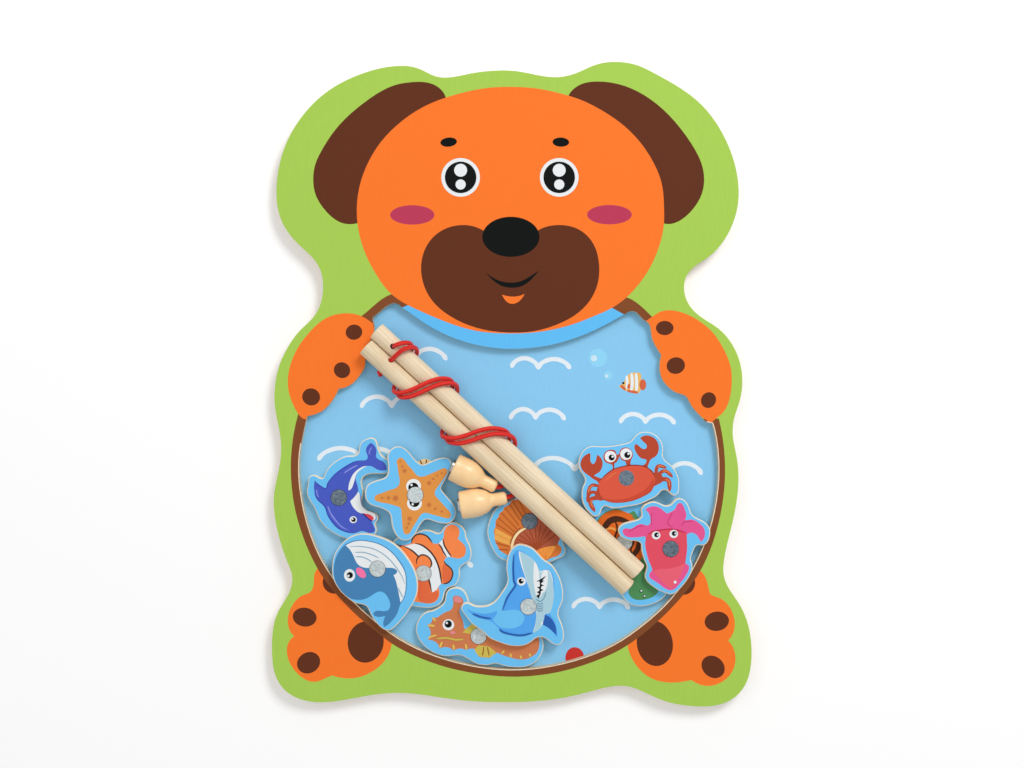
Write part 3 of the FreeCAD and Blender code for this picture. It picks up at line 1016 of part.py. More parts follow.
def make_cord(label, route, holder):
    """A cord from its knot, round the rods, to the bottom of its holder's bore."""
    base, axis = holder_axis(holder)
    leaves = base + axis * (size("holder_length") + CORD_LEAVES_HOLDER)
    ends = base + axis * (size("holder_length") - size("cord_grip_depth"))
    points = [rods_frame(*place) for place in route] + [leaves, ends]
    solids, length, radii = cord_segments(points, cord_radius)
    tube = solids[0].multiFuse(solids[1:]).removeSplitter()
    expected = math.pi * cord_radius ** 2 * length
    print(label, "length", round(length, 1), "bends", radii, "volume", round(tube.Volume / expected, 4))
    if abs(tube.Volume / expected - 1) > 0.02:
        raise ValueError(label + " has a wrong volume")
    step = Vector(points[1] - points[0]).normalize()
    knot = Part.makeSphere(size("knot_diameter") / 2, points[0] - step * (size("knot_diameter") / 2 - 0.6))
    solid_part(label, [tube.fuse(knot).Solids[0]])


make_boards()
make_frame_print()
make_pond_print()
make_tiles()
make_rod("upper_rod", 1, UPPER_ROD_SHIFT, "upper_hole_place", 0)
make_rod("lower_rod", -1, LOWER_ROD_SHIFT, "lower_hole_place", LOWER_HOLE_SLANT - 90)
for name, holder in HOLDERS.items():
    make_holder(name, holder)
make_cord("upper_cord", UPPER_CORD, HOLDERS["upper"])
make_cord("lower_cord", LOWER_CORD, HOLDERS["lower"])
doc.recompute()

for item in doc.Objects:
    if "Invalid" in item.State or "Error" in item.State:
        raise ValueError(item.Label + " failed")

os.makedirs("parts", exist_ok=True)
for item in doc.Objects:
    if item.TypeId in ("PartDesign::Body", "Part::Cylinder", "Part::Feature"):
        shape = item.Shape
        if shape.isNull() or not shape.isValid() or not shape.Solids:
            raise ValueError(item.Label + " is not a valid solid")
        shape.exportStep("parts/%s.step" % item.Label)
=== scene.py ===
"""Looks for a flat wooden magnetic fishing game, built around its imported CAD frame."""

import math

import bmesh
import bpy
from mathutils import Matrix, Vector, geometry


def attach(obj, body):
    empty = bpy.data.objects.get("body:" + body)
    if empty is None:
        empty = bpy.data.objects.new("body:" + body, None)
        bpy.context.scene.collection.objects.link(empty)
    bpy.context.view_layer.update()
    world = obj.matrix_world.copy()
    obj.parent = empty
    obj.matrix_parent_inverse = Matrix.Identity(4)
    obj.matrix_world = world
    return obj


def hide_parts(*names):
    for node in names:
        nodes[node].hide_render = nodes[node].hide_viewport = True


MM = 0.001  # a millimetre in metres. Lengths are in millimetres where nothing else is said.
IMAGE_WIDTH = 1024
MM_PER_PIXEL = 0.4341
FRAME_TOP = 6.5
LENS = 50.0
SENSOR = 36.0
FLOOR_HALF = 3.0  # in metres
FLOOR_GAP = 0.0002  # in metres

# The rods' frame and the cords' routes in it, as the CAD part has them: along the rods,
# across them toward the head, and up from their axes, in millimetres.
RODS_START = Vector((-60.55, 19.4, 10.5))
RODS_HEADING = math.atan2(-0.6777, 0.7353)
CORD_DIAMETER = 2.0
UPPER_CORD = [
    (9.2, 4.05, -4.7), (9.2, 4.05, 6.6), (11.8, 8.8, 6.7), (14.4, 10.4, -0.6), (16.6, 6.2, -6),
    (19.4, -5.4, -6), (21.8, -10.3, -1.4), (24.2, -9.6, 4), (27.2, -6, 5.5), (31.6, 5.4, 5.5),
    (35.4, 9.7, 4), (38.2, 10.3, -1.6), (40.8, 6.2, -6), (47.6, -5.4, -6), (50.2, -10.3, -1.4),
    (52.4, -9.6, 4), (56.4, -6.2, 5.5), (62.2, 5.4, 5.5), (67.4, 9.7, 4), (71.6, 10.3, -1.6),
    (74.6, 6, -5.8), (79.8, 0.4, -6.3), (84.6, -5.6, -5.6),
]
LOWER_CORD = [
    (12.5, -7.66, -3.03), (12.5, 3.5, 6.35), (14.8, 9.2, 5.8), (17.4, 10.4, -1), (19.4, 6.2, -6),
    (22.2, -5.4, -6), (24.5, -10.3, -1.4), (27, -9.6, 4), (30, -6, 5.5), (34.4, 5.4, 5.5),
    (38.2, 9.7, 4), (41, 10.3, -1.6), (43.6, 6.2, -6), (50.4, -5.4, -6), (52.9, -10.3, -1.4),
    (55.5, -9.6, 4), (59.6, -6.2, 5.5), (65.5, 5.4, 5.5), (70.8, 9.7, 4), (75, 10.3, -1.6),
    (78, 6, -6), (84.2, 0.8, -6.4), (91, -6.5, -6.2),
]
HOLDERS = {
    "upper": {"base": (-25.15, -35.8), "heading": -25.6},
    "lower": {"base": (-22.3, -52.4), "heading": 9.2},
}
HOLDER_AXIS_HEIGHT = 9.35
HOLDER_LENGTH = 20.3
CORD_LEAVES_HOLDER = 1.7
CORD_GRIP = 2.0
KNOT_DIAMETER = 3.3
KNOT_OVERLAP = 0.6
KNOT_LOBES = 3
KNOT_LOBE_DEPTH = 0.14
KNOT_TWIST = 900

# A printed patch stands a step above the one before it, and reaches down into its ground.
PATCH_STEP = 0.012
PATCH_DEPTH = 0.05
# The pond's floor, and how deep the CAD part's inks are let in.
POND_FLOOR = 3.0
PRINT_DEPTH = 0.1
DOT_CORNERS = 28
STEPS_PER_SPAN = 4
# A printed line's tips have this share of its width, and it widens over a sixth at each end.
LINE_TIP = 0.35
LINE_PARTS = 6

# What counts as a face that looks up, and as one level or one point, in metres.
UPRIGHT = 0.9
SAME_LEVEL = 1e-5
SAME_POINT = 1e-6
# How upright a tile's surface is where it has ink, and not bare wood.
INKED = 0.93

# A steel disc's face: rings from the dark gap round it to the edge of its flat, as radius and height. The
# gap's rings are dark ink, as painted shade of the gap between disc and tile.
DISC_RINGS = ((3.58, -0.05), (3.56, 0.15), (3.44, 0.15), (3.42, 0.19), (3.3, 0.23))
DISC_GAP_SHADE_RINGS = 2
DISC_CORNERS = 64

# The pond's cut edge, pale wood with a painted highlight: across from the pond's edge and up from the
# frame's top. It lies below a line, in the part where light falls on the edge.
EDGE_HIGHLIGHT_WIDTH = 0.45
EDGE_HIGHLIGHT_SECTION = ((-0.02, -0.3), (0.08, 0.02), (EDGE_HIGHLIGHT_WIDTH, 0.03), (EDGE_HIGHLIGHT_WIDTH, -0.05))
EDGE_HIGHLIGHT_BELOW = -16.0

# The braid: how often its strands cross along a cord, and go round it, as angles.
BRAID_ALONG = 900.0
BRAID_AROUND = 4 * math.pi

# Lamps: name, place and width in metres, and power. The surround lights by a share of its white.
LAMPS = (
    ("key_lamp", (0.55, 0.75, 1.0), 0.45, 8.6),
    ("fill_lamp", (-0.7, 0.2, 1.1), 1.0, 2.1),
)
SURROUND_LIGHT = 0.58

# Wood's grain: how strong its contrast is, and where its middle tone lies.
WOOD_CONTRAST = 2.2
WOOD_MIDDLE = 0.56

# Inks and paints, as they look.
INKS = {
    "grass_green": (168, 206, 86),
    "fur_orange": (255, 122, 45),
    "fur_brown": (97, 49, 29),
    "rim_brown": (130, 75, 42),
    "black": (10, 13, 13),
    "white": (234, 238, 240),
    "cheek_red": (188, 60, 90),
    "band_blue": (98, 190, 246),
    "pond_blue": (140, 203, 243),
    "foam_white": (232, 241, 248),
    "bubble_blue": (206, 232, 248),
    "bubble_pale": (146, 215, 249),
    "tile_blue": (104, 192, 243),
    "coral_red": (205, 55, 50),
    "fish_tan": (238, 188, 108),
    "fish_coral": (216, 104, 70),
    "dolphin_violet": (74, 92, 194),
    "dolphin_lilac": (128, 140, 226),
    "dolphin_navy": (38, 40, 120),
    "dolphin_edge": (58, 70, 172),
    "tongue_red": (225, 70, 80),
    "starfish_orange": (224, 149, 72),
    "starfish_spot": (203, 118, 68),
    "whale_blue": (71, 131, 181),
    "whale_grey": (150, 180, 200),
    "blush": (250, 118, 168),
    "clown_orange": (247, 136, 76),
    "clown_red": (228, 108, 66),
    "line_dark": (70, 48, 48),
    "seahorse_brown": (206, 124, 80),
    "seahorse_fin": (206, 186, 84),
    "seahorse_dark": (150, 96, 48),
    "seahorse_pink": (228, 140, 140),
    "seahorse_spike": (226, 196, 92),
    "shark_blue": (84, 166, 240),
    "shark_pale": (172, 208, 222),
    "shark_line": (110, 150, 170),
    "shark_navy": (44, 96, 176),
    "scallop_orange": (218, 122, 56),
    "scallop_red": (178, 92, 66),
    "scallop_rib": (158, 74, 42),
    "scallop_light": (238, 154, 70),
    "scallop_sand": (236, 172, 84),
    "scallop_cream": (246, 222, 170),
    "crab_body": (218, 88, 64),
    "crab_claw": (182, 72, 48),
    "crab_dark": (120, 34, 28),
    "crab_leg": (226, 128, 78),
    "crab_shade": (202, 74, 52),
    "squid_pink": (230, 88, 148),
    "squid_red": (226, 80, 100),
    "squid_low": (234, 98, 118),
    "squid_line": (204, 66, 124),
    "squid_dark": (190, 48, 74),
    "turtle_green": (82, 144, 92),
    "turtle_dark": (44, 98, 62),
    "turtle_orange": (226, 108, 38),
    "turtle_brown": (72, 42, 27),
    "turtle_sand": (240, 170, 80),
}


def area(ink, *strokes):
    """A printed patch: one smooth loop, or strokes that meet at corners."""
    return {"kind": "area", "ink": ink, "strokes": strokes}


def line(ink, width, *points):
    """A printed line that thins out at both ends."""
    return {"kind": "line", "ink": ink, "width": width, "points": points}


def dot(ink, centre, across, up=None, turn=0):
    """A printed dot or ellipse, by its half sizes."""
    return {"kind": "dot", "ink": ink, "centre": centre, "across": across, "up": up or across, "turn": turn}


# Fine print on the tiles, in each tile's own millimetres. disc: its steel disc's centre.
TILE_PRINTS = {
    "dolphin": {"disc": (0, 0), "patches": [
        line("dolphin_edge", 0.45, (-10.4, 7.2), (-8.8, 5.6), (-5.6, 3.9), (-4.6, 6.5), (-0.9, 10.7),
             (6.1, 15.2), (11.3, 16.2)),
        line("dolphin_edge", 0.45, (-10.5, 2), (-9.3, -0.7), (-6, -4), (-4.4, -8.3), (-0.4, -13.2),
             (4.8, -15.4)),
        area("dolphin_lilac", [(-5, -3.7), (-4.4, -5.6), (-3.1, -8.3), (-0.9, -11), (1.5, -13.2)],
             [(4.8, -14.4), (2.9, -13.4), (0.7, -11.8), (-1.5, -9.1), (-3.4, -6.4), (-4.2, -4.2)]),
        area("tongue_red", [(10.2, -6.8), (12.9, -7.2), (14.5, -8), (15.2, -9.1)],
             [(14.5, -10), (13.2, -9.4), (11.6, -8)]),
        line("dolphin_navy", 0.5, (10.3, -6.8), (11.8, -8.1), (13.3, -9.5), (14.5, -10.1)),
        dot("white", (6, -9.3), 0.4),
        line("dolphin_lilac", 0.6, (-9.6, 3.6), (-9.4, 1.6), (-8.7, 0.2)),
        line("dolphin_lilac", 0.6, (13.2, 18.6), (13.4, 20.4), (14.4, 21.8)),
        line("dolphin_lilac", 0.7, (2.2, 10.6), (5.4, 12.7), (8.2, 14)),
    ]},
    "starfish": {"disc": (0, -0.2), "patches": [
        *(dot("starfish_spot", (x, y), size) for x, y, size in (
            (-6.5, 14.2, 0.45), (-5.6, 12.1, 0.55), (-4.6, 10.2, 0.9), (6, 4.9, 0.9), (7.8, 6.7, 0.55),
            (9.6, 8, 0.45), (11.5, 9.1, 0.45), (6, -4.5, 0.9), (8.7, -6.2, 0.55), (11.5, -7.4, 0.55),
            (-2.4, -10.4, 0.9), (-2.8, -12.5, 0.55), (-3.6, -14.3, 0.45), (-8.5, -1.5, 1.1),
            (-11.5, -1.3, 0.7), (-14.2, -1.3, 0.45))),
        dot("white", (-1.6, 4.1), 0.5), dot("white", (-1.1, -4.2), 0.5),
    ]},
    "whale": {"disc": (-2.4, 1.1), "patches": [
        line("whale_grey", 0.5, (-14.5, 10.7), (-10, 10.8), (-5, 10), (-1, 8.2), (2.5, 5.5), (5.5, 2),
             (8, -1.8), (9.6, -5.6)),
        line("whale_grey", 0.5, (-12.2, 8.2), (-8.6, 8.2), (-5, 7.3), (-1.6, 5.7)),
        line("whale_grey", 0.5, (-12, 6.4), (-9, 6.2), (-6.5, 5.2), (-4.6, 3.9)),
        line("whale_grey", 0.5, (6.5, -7), (7.7, -9.5), (8.6, -11.3)),
        dot("blush", (-9.5, -0.6), 2.7, 1.6, -48),
        dot("white", (-14.9, -1.9), 0.5),
    ]},
    "clownfish": {"disc": (0, 0), "patches": [
        line("line_dark", 0.7, (-8.8, 11.9), (-5.4, 10.2), (-2.8, 8), (-0.6, 5.4), (1, 2), (2.2, -2),
             (3, -5), (3.6, -8)),
        line("line_dark", 0.7, (-3.6, 13), (-1, 12.4), (1.5, 10.8), (3.8, 8.5), (5.6, 5.6), (6.9, 2),
             (7.6, -1.8), (7.9, -4.4)),
        line("line_dark", 0.6, (6.6, 12.9), (8, 11), (8.4, 9.9), (10.1, 7.1)),
        line("line_dark", 0.6, (8.6, 14.8), (9.1, 12.2), (10.6, 9.6), (12.2, 7.3)),
        line("line_dark", 0.6, (-5.2, 13.1), (-4.8, 14.7), (-3.8, 16.2), (-2.3, 17), (-0.5, 17),
             (1.5, 16.2), (3, 14.6), (3.9, 13.3)),
        line("line_dark", 0.6, (9.1, 5.4), (9.6, 4.2), (11.2, 2.9), (12.5, 1.2), (12.7, -0.8), (11.8, -3),
             (10.2, -4.3), (8.4, -4.5)),
        area("clown_red", (-2, -2.6), (1.6, -2.4), (2.6, -5), (3.2, -8), (4.2, -8.2), (5.6, -7.4),
             (6.5, -8.6), (6, -10.9), (4, -12.5), (1, -12.9), (-1.4, -12.1), (-2.2, -10), (-2.1, -6)),
        area("clown_red", (8.6, 3.6), (10.6, 2.6), (12, 0.8), (12, -1.4), (11, -3.2), (9.4, -4), (8.4, -2)),
        area("clown_orange", (-3, 3), (-2.6, 6.2), (-0.8, 7.8), (1.4, 7.4), (3.1, 5.6), (3.2, 3.4),
             (2, 1.6), (0, 1)),
        line("line_dark", 0.6, (-3, 4), (-2.6, 6.4), (-0.8, 8), (1.6, 7.5), (3.3, 5.6), (3.5, 3.6),
             (2.4, 1.8)),
        area("line_dark", (-12, 12.9), (-10.4, 12.3), (-9, 12), (-10.2, 11.5), (-12, 11.3)),
    ]},
    "seahorse": {"disc": (0, 0), "patches": [
        area("seahorse_fin", [(-7, 1.5), (-4.8, 3.7)],
             [(-3.2, 5), (-2, 5.2), (0, 4.3), (2.2, 2.6), (3.6, 1.6)], [(-1, 0.6)]),
        area("seahorse_fin", [(0, -4), (-1.7, -6)], [(-0.8, -7.7), (0.6, -9), (2.6, -9.2), (5, -9.3)],
             [(6.3, -8.1), (7.6, -7.3)], [(4.6, -4.6)]),
        line("seahorse_dark", 0.5, (1.6, -8.6), (2, -6.6), (2.2, -4.6)),
        line("seahorse_dark", 0.5, (4.6, -8.6), (4.2, -6.6), (3.8, -4.8)),
        line("seahorse_spike", 0.7, (-22, -1), (-20.4, -0.2), (-18.2, 0.4)),
        *(line("seahorse_spike", 0.8, *points) for points in (
            ((-22, 4.5), (-20.6, 4.6), (-19, 4.3)), ((-20, 8), (-19.4, 7.4), (-18.8, 6.5)),
            ((-16.8, -5), (-16.4, -3.8), (-15.8, -2.5)), ((-10.7, -6), (-10.8, -4.8), (-11, -3.7)),
            ((-5.3, -5.8), (-5.4, -4.6), (-5.7, -3.5)), ((10, -7.6), (10.6, -7), (11, -6.2)),
            ((14, -9.2), (14, -8.4), (13.7, -7.6)), ((18.5, -9.8), (18.4, -9.2), (18, -8.4)),
            ((22.5, -8.9), (22.4, -8.4), (22, -7.6)))),
        area("seahorse_pink", (-10.6, 16.8), (-9, 17.2), (-7.5, 16.2), (-7.2, 15), (-8.6, 14.4),
             (-10.4, 15)),
        dot("seahorse_pink", (-11.3, 1.5), 1.2, 0.8),
        dot("white", (-13.8, 5.7), 0.5),
        line("seahorse_fin", 0.8, (-18.4, -1.2), (-14, -0.8), (-10, -1.6), (-6.5, -1.4)),
    ]},
    "shark": {"disc": (3.55, -6.15), "patches": [
        area("shark_navy", [(10.8, -9.6), (12.8, -10.6), (14.4, -12.6), (15.4, -15)],
             [(15.7, -18.4), (13.8, -16.6), (11.8, -15)], [(9.7, -13.8)]),
        area("shark_pale", [(-0.2, 17.5), (2.6, 16.5), (5.6, 14.3), (7, 12.5)], [(8.4, 9.6), (9, 8.6)],
             [(10.4, 9.5), (12, 9.7), (13.3, 7.4), (14.2, 4), (14.6, 0), (14.2, -4.6), (12.8, -8.8)],
             [(10.6, -9), (10.2, -11.8), (9, -13.3)], [(9.6, -14.4), (8, -16.2), (5.6, -17.3)],
             [(6.4, -15), (7, -11), (6.4, -7), (4.8, -1.6), (3, 5), (1.2, 11)]),
        area("white", [(6, 13.4), (7.2, 12.2)],
             [(7.6, 10.6), (8.2, 8.6), (8.4, 6), (9.8, 4), (10, 1), (9, -1.6), (7.4, -2.2)],
             [(6.4, 0.6), (5.8, 5), (5.8, 9)]),
        area("white", [(9.1, 7.4), (10.2, 9.2), (11.8, 9.4)],
             [(12, 6), (11.6, 3), (10.4, 0.2), (9, 0.6), (9, 4)]),
        *(area("black", *([corner] for corner in corners)) for corners in (
            ((7, 4.7), (11.3, 7.3), (9.4, 4.9)), ((8.2, 5), (10.4, 5.2), (8.8, 3.6)),
            ((8.4, 4), (10.4, 3), (8.6, 2.6)), ((7.3, 2.2), (9.4, 3), (8.8, 1.4)),
            ((8.4, 2), (10.1, 1), (8.2, 0.4)), ((7.1, 0.2), (9, 1), (8.8, -0.8)),
            ((7, -1.4), (9, -0.2), (8, -2.6)))),
        line("shark_line", 0.35, (6.8, -2.8), (8.8, -3.8), (10.4, -2.2), (11.2, 0.4)),
        *(line("shark_line", 0.3, (7.2, y), (8.6, y - 0.6), (10, y)) for y in (-4.4, -5.4, -6.4, -7.4)),
        line("shark_navy", 0.8, (-2.7, 16.5), (-3, 11), (-2.7, 5), (-2.1, 3), (-5.4, -1.9), (-7.6, -7.6)),
        line("shark_navy", 0.8, (-9, -15.7), (-6.8, -17.3), (0, -18.5), (5.4, -17.4)),
        dot("white", (0.9, 5.3), 0.4),
        line("shark_navy", 0.7, (-20.5, -9.2), (-16.5, -10.6), (-12.6, -11.2)),
    ]},
    "scallop": {"disc": (0, 0), "patches": [
        area("scallop_sand", [(-14.9, -3), (-15, -5.5), (-14.8, -8)], [(-8.2, -10.6)], [(-7.6, -7)]),
        area("scallop_red", [(-2, -3.2), (-5, -5.4), (-6.6, -8.4), (-7.2, -10.6)],
             [(-2, -10.8), (3.4, -12.6)], [(7, -11.2), (11.4, -10.7)],
             [(12.8, -8.4), (13.4, -3), (13.4, 2.4), (11.6, 6.8), (8.3, 10.2), (4, 11.6)], [(2, 6)]),
        *(line("scallop_rib", 0.55, (3.2, -12), ((3.2 + x) / 2, (y - 12) / 2 + 0.2), (x, y)) for x, y in (
            (-6.4, -9.4), (-6, -7.6), (-4.6, -5.8), (-2.6, -4.2), (-0.2, -3.6), (2.4, -2.6), (5, -1.4),
            (7.8, -1.6), (10, -3), (12, -5.4))),
        *(line("scallop_rib", 0.6, start, end) for start, end in (
            ((-14.4, -1.2), (-7.4, -5.8)), ((-13.4, 1.4), (-6.6, -4.6)), ((-12.2, 3.6), (-5.6, -3.4)),
            ((-10.6, 5.8), (-4.6, -1.8)), ((-8.8, 7.4), (-3.8, 0.2)), ((-7.2, 8.8), (-3, 1.8)),
            ((-5, 9.6), (-1.6, 3)), ((-14.6, -9.4), (-8.8, -11)), ((-13.4, -12.2), (-8.9, -12.4)))),
        *(line("scallop_light", 0.5, start, end) for start, end in (
            ((-13.8, 0.2), (-7.2, -5)), ((-11.4, 4.8), (-5, -2.6)), ((-8, 8.2), (-3.4, 1)),
            ((-14.8, -5.4), (-8, -8.6)))),
        line("scallop_cream", 1.1, (-1.6, -3), (-4.4, -4.6), (-6.4, -7), (-7.4, -9.6), (-7.9, -12.8)),
        line("scallop_rib", 0.5, (-3.8, -2.8), (-5.9, -4.8), (-7.3, -7), (-8.4, -10)),
        area("scallop_light", [(2.8, -13), (5, -11.8), (8, -11), (11.4, -10.7)],
             [(10.6, -12.6), (9, -15), (7, -16.6), (4.4, -15)]),
        *(line("scallop_orange", 0.4, (7, -16), end) for end in (
            (4, -12.6), (5.8, -11.8), (7.6, -11.2), (9.4, -11))),
    ]},
    "crab": {"disc": (0, 0), "patches": [
        area("tile_blue", (12.6, 3.6), (13, 5.9), (15.2, 6), (17.6, 4.9), (19.2, 2.9), (20.3, 0.3),
             (19.6, -1), (19.3, -3.6), (18.8, -6), (17.4, -3.6), (15.8, -2.4), (14, -3), (12.4, -3)),
        area("tile_blue", (-12, -2.8), (-13.6, -2.2), (-15.6, -2.5), (-16.7, -5), (-17.1, -8),
             (-16.8, -10.6), (-15.7, -12.7), (-13.7, -14.8), (-13.9, -11.8), (-14, -9.7), (-11.8, -9),
             (-10.6, -9.6)),
        area("crab_claw", (11.8, 2.2), (14, 2.4), (15.6, 0.9), (15.4, -1.6), (13.6, -2.7), (11.8, -3)),
        area("crab_claw", (-10.8, -3), (-12.6, -4.4), (-13.2, -6.4), (-14, -8.4), (-12.6, -9.4),
             (-10, -9.2)),
        *(line("crab_claw", width, *points) for width, points in (
            (1.5, ((12.8, 1), (13.2, 4.4), (14.6, 5.3), (17.4, 4.4))),
            (1.5, ((13.6, 1.2), (15.6, 2.9), (17.6, 2.8), (20, 0.4))),
            (1.8, ((14, -1), (16.8, -0.4), (18.4, -1.6), (18.7, -5.6))),
            (1.4, ((-11.6, -3.6), (-14.4, -3), (-16, -4.4), (-16.9, -8))),
            (1.4, ((-12, -6.8), (-14.8, -6), (-16.4, -7.4), (-16.9, -10.4))),
            (1.8, ((-12, -8.6), (-15, -8.9), (-15.6, -10.8), (-13.7, -14.4))))),
        *(line("crab_leg", 0.5, *points) for points in (
            ((13.4, 4.6), (14.6, 5.4), (16.6, 4.8)), ((15.6, 3), (17.6, 3), (19.2, 1.6)),
            ((16.8, -0.4), (18.4, -1.4), (18.6, -3.6)), ((-14.2, -3), (-15.8, -4.2), (-16.6, -6.4)),
            ((-14.8, -9.2), (-15.4, -10.8), (-14.4, -12.8)))),
        area("tile_blue", (-4.9, 3.6), (-5.1, 6.2), (-4.2, 6.9), (-3.4, 8.2), (-2.9, 9.4), (-2.4, 8.4),
             (-1.6, 7.6), (-0.4, 7.2), (-0.1, 4.8), (-2.5, 4.4)),
        area("crab_body", (-11.8, -1.7), (-10.4, -0.2), (-8.8, 1.4), (-6.9, 2.9), (-4.4, 4.2), (-1, 5.2),
             (3, 5.5), (6.5, 5.4), (8.7, 4.6), (10.6, 3), (11.8, 1.3), (12.5, -0.6), (12, -3.2),
             (10.8, -5.2), (8.4, -7.1), (5, -8.7), (1, -9.9), (-3, -10.5), (-6.9, -10.3), (-9.4, -9.3),
             (-11.3, -7.4), (-12, -4.5)),
        area("crab_shade", [(-9.8, -8.8), (-5, -9.3), (0, -8.7), (5, -6.8), (9, -4), (11.6, -0.4)],
             [(12.3, -2.6), (10.8, -5.2), (8.4, -7.1), (5, -8.7), (1, -9.9), (-3, -10.4), (-6.9, -10.2)]),
        line("crab_dark", 0.35, (-11.2, -1), (-8.8, 1.5), (-4.4, 4.3), (3, 5.6), (8.8, 4.7), (12, 1.4)),
        line("crab_leg", 0.35, (-8.6, -0.6), (-6.2, 1.4), (-4.2, 2.4)),
        dot("white", (-5.9, 9.3), 0.5), dot("white", (1, 10.5), 0.5),
    ]},
    "squid": {"disc": (0, 0), "patches": [
        area("squid_red",
             [(-10.7, 4.6), (-9.6, 6.6), (-7.6, 7.7), (-4, 8.2), (0, 8.6), (4, 7.8), (6.6, 6.9)],
             [(7, 4), (7, 0), (6.6, -4), (6.2, -6.4)], [(5, -10), (2.8, -14), (0.2, -17.1)],
             [(-3.6, -14.4), (-7, -10.6), (-8.6, -7), (-10, -2), (-10.7, 1)]),
        area("squid_low", [(-7.6, -9.4), (-4, -8.6), (0, -8.4), (4, -7.2), (6.1, -6.3)],
             [(5, -10), (2.8, -14), (0.2, -17.1)], [(-3.6, -14.4), (-6.6, -11)]),
        line("squid_dark", 0.5, (-9.8, 6.4), (-7.6, 7.6), (-4, 8.2), (0, 8.6), (4, 7.9), (6.6, 6.9)),
        *(line("squid_line", 0.4, *points) for points in (
            ((-18.4, 7.4), (-16, 8.6), (-13.6, 9.8), (-10.6, 10)),
            ((-8.2, 15.6), (-8.4, 12.6), (-8.2, 10.2)),
            ((0.8, 9.2), (-1.2, 11), (-0.4, 13.6), (0.8, 15.6)), ((4.6, 10), (6.2, 11.8), (9.4, 11.9)))),
        dot("white", (-6.3, 5.9), 1.85, 1.75), dot("white", (1.3, 6.5), 1.85, 1.75),
        dot("black", (-6.1, 6.1), 1.05), dot("black", (1.5, 6.7), 1.05),
        dot("white", (-5.6, 6.1), 0.4), dot("white", (2, 6.7), 0.4), dot("white", (1.9, -14.3), 0.65),
    ]},
    "turtle": {"disc": (-6.8, 4.5), "patches": [
        area("turtle_orange", (-18.8, 11.6), (-16.8, 15.6), (-13, 18), (-8.4, 18.2), (-3.4, 16.2),
             (0.6, 12.4), (2.8, 7.4), (2.6, 1.6), (0, -3.4), (-4, -6.6), (-8.6, -6.8), (-12.4, -2.4),
             (-16, 3), (-18.6, 7.4)),
        area("turtle_brown", (-16.6, 10.8), (-14.6, 14.2), (-11.4, 15.8), (-7.8, 15.4), (-3.8, 13.2),
             (-0.8, 9.8), (0.8, 5.4), (0, 1), (-2.8, -2.6), (-6.4, -4.4), (-9.6, -2.8), (-13.2, 2.2),
             (-16, 7)),
        area("turtle_orange", (-14.4, 9.5), (-12.9, 12), (-10.5, 13.2), (-7.8, 13), (-4.8, 11.3),
             (-2.6, 8.8), (-1.4, 5.4), (-2, 2.2), (-4.1, -0.6), (-6.8, -1.9), (-9.2, -0.7), (-11.9, 3),
             (-14, 6.6)),
        line("turtle_sand", 0.9, (-16, 9.4), (-12.6, 10.6), (-9.6, 9.4), (-6.8, 10.6), (-3, 9), (0, 6.6)),
        line("turtle_brown", 0.8, (-11.8, 15.6), (-9.8, 10.6), (-11, 5.4), (-8, 1), (-8.4, -3.6)),
        line("turtle_brown", 0.8, (-4.4, 13.2), (-5.4, 9.8), (-2.6, 5.6), (-4, 1), (-2.6, -2)),
        area("turtle_green", (-4.6, -15.6), (-4.4, -18.2), (-2.8, -19.8), (0.4, -20.3), (3.8, -19.7),
             (6.6, -18.1), (7.9, -15.6), (7.6, -12.8), (9.4, -9.3), (12.8, -8.3), (15.3, -5.8),
             (15.1, -2.8), (12, -1.4), (8, -2.4), (4, -5.4), (0.6, -8.4), (-3.4, -11.6)),
        area("turtle_green", [(-3.8, 15.8), (-1, 15.3), (3, 14.7), (7, 13.9), (10.2, 13.3), (13.2, 12.4)],
             [(14.3, 9.5), (12.5, 6.2), (8, 6.6), (3, 10)]),
        dot("turtle_dark", (0.5, -16.7), 0.8), dot("white", (0.6, -16.6), 0.4),
        dot("turtle_dark", (1.9, -19), 0.75), dot("white", (2, -18.9), 0.35),
        line("turtle_dark", 0.6, (9.6, -4.8), (11.8, -5.6), (13.4, -4.8)),
    ]},
}

DARK_DISCS = ("dolphin", "scallop", "crab", "squid")

# Fine print on the pond, in board millimetres: two striped fish and the bubbles' light spots.
POND_PRINTS = [
    line("foam_white", 1.2, (50, 3.7), (50.3, 0.8), (50.1, -2.2)),
    line("foam_white", 1.35, (52.2, 4.7), (52.5, 0.8), (52.1, -3)),
    line("foam_white", 1.3, (54.1, 4.8), (54.4, 0.8), (54.3, -3.2)),
    area("fish_coral", (47.2, -0.6), (48.3, -0.6), (49.7, -2.1), (49.2, -2.7), (48, -1.9)),
    line("fish_coral", 1.1, (50.3, -2.9), (52.6, -3.4), (55, -3.7)),
    dot("fish_coral", (51, -1), 1.15, 0.65, 80), dot("fish_coral", (57.1, -0.3), 2.35, 1.45, 90),
    dot("black", (48.6, 0.4), 0.5),
    dot("bubble_blue", (35.8, 11.2), 1.4), dot("bubble_blue", (41.3, 3.5), 0.8),
    area("scallop_cream", (-42, -35), (-40.6, -33.6), (-38.6, -32.7), (-36.6, -32.9), (-34.8, -34.1),
         (-33.8, -35.6), (-38, -37)),
    line("seahorse_dark", 0.6, (-40.2, -33.2), (-39.6, -34.4), (-39, -35.8)),
    line("seahorse_dark", 0.6, (-37.4, -32.8), (-37.4, -34.2), (-37.8, -35.6)),
]


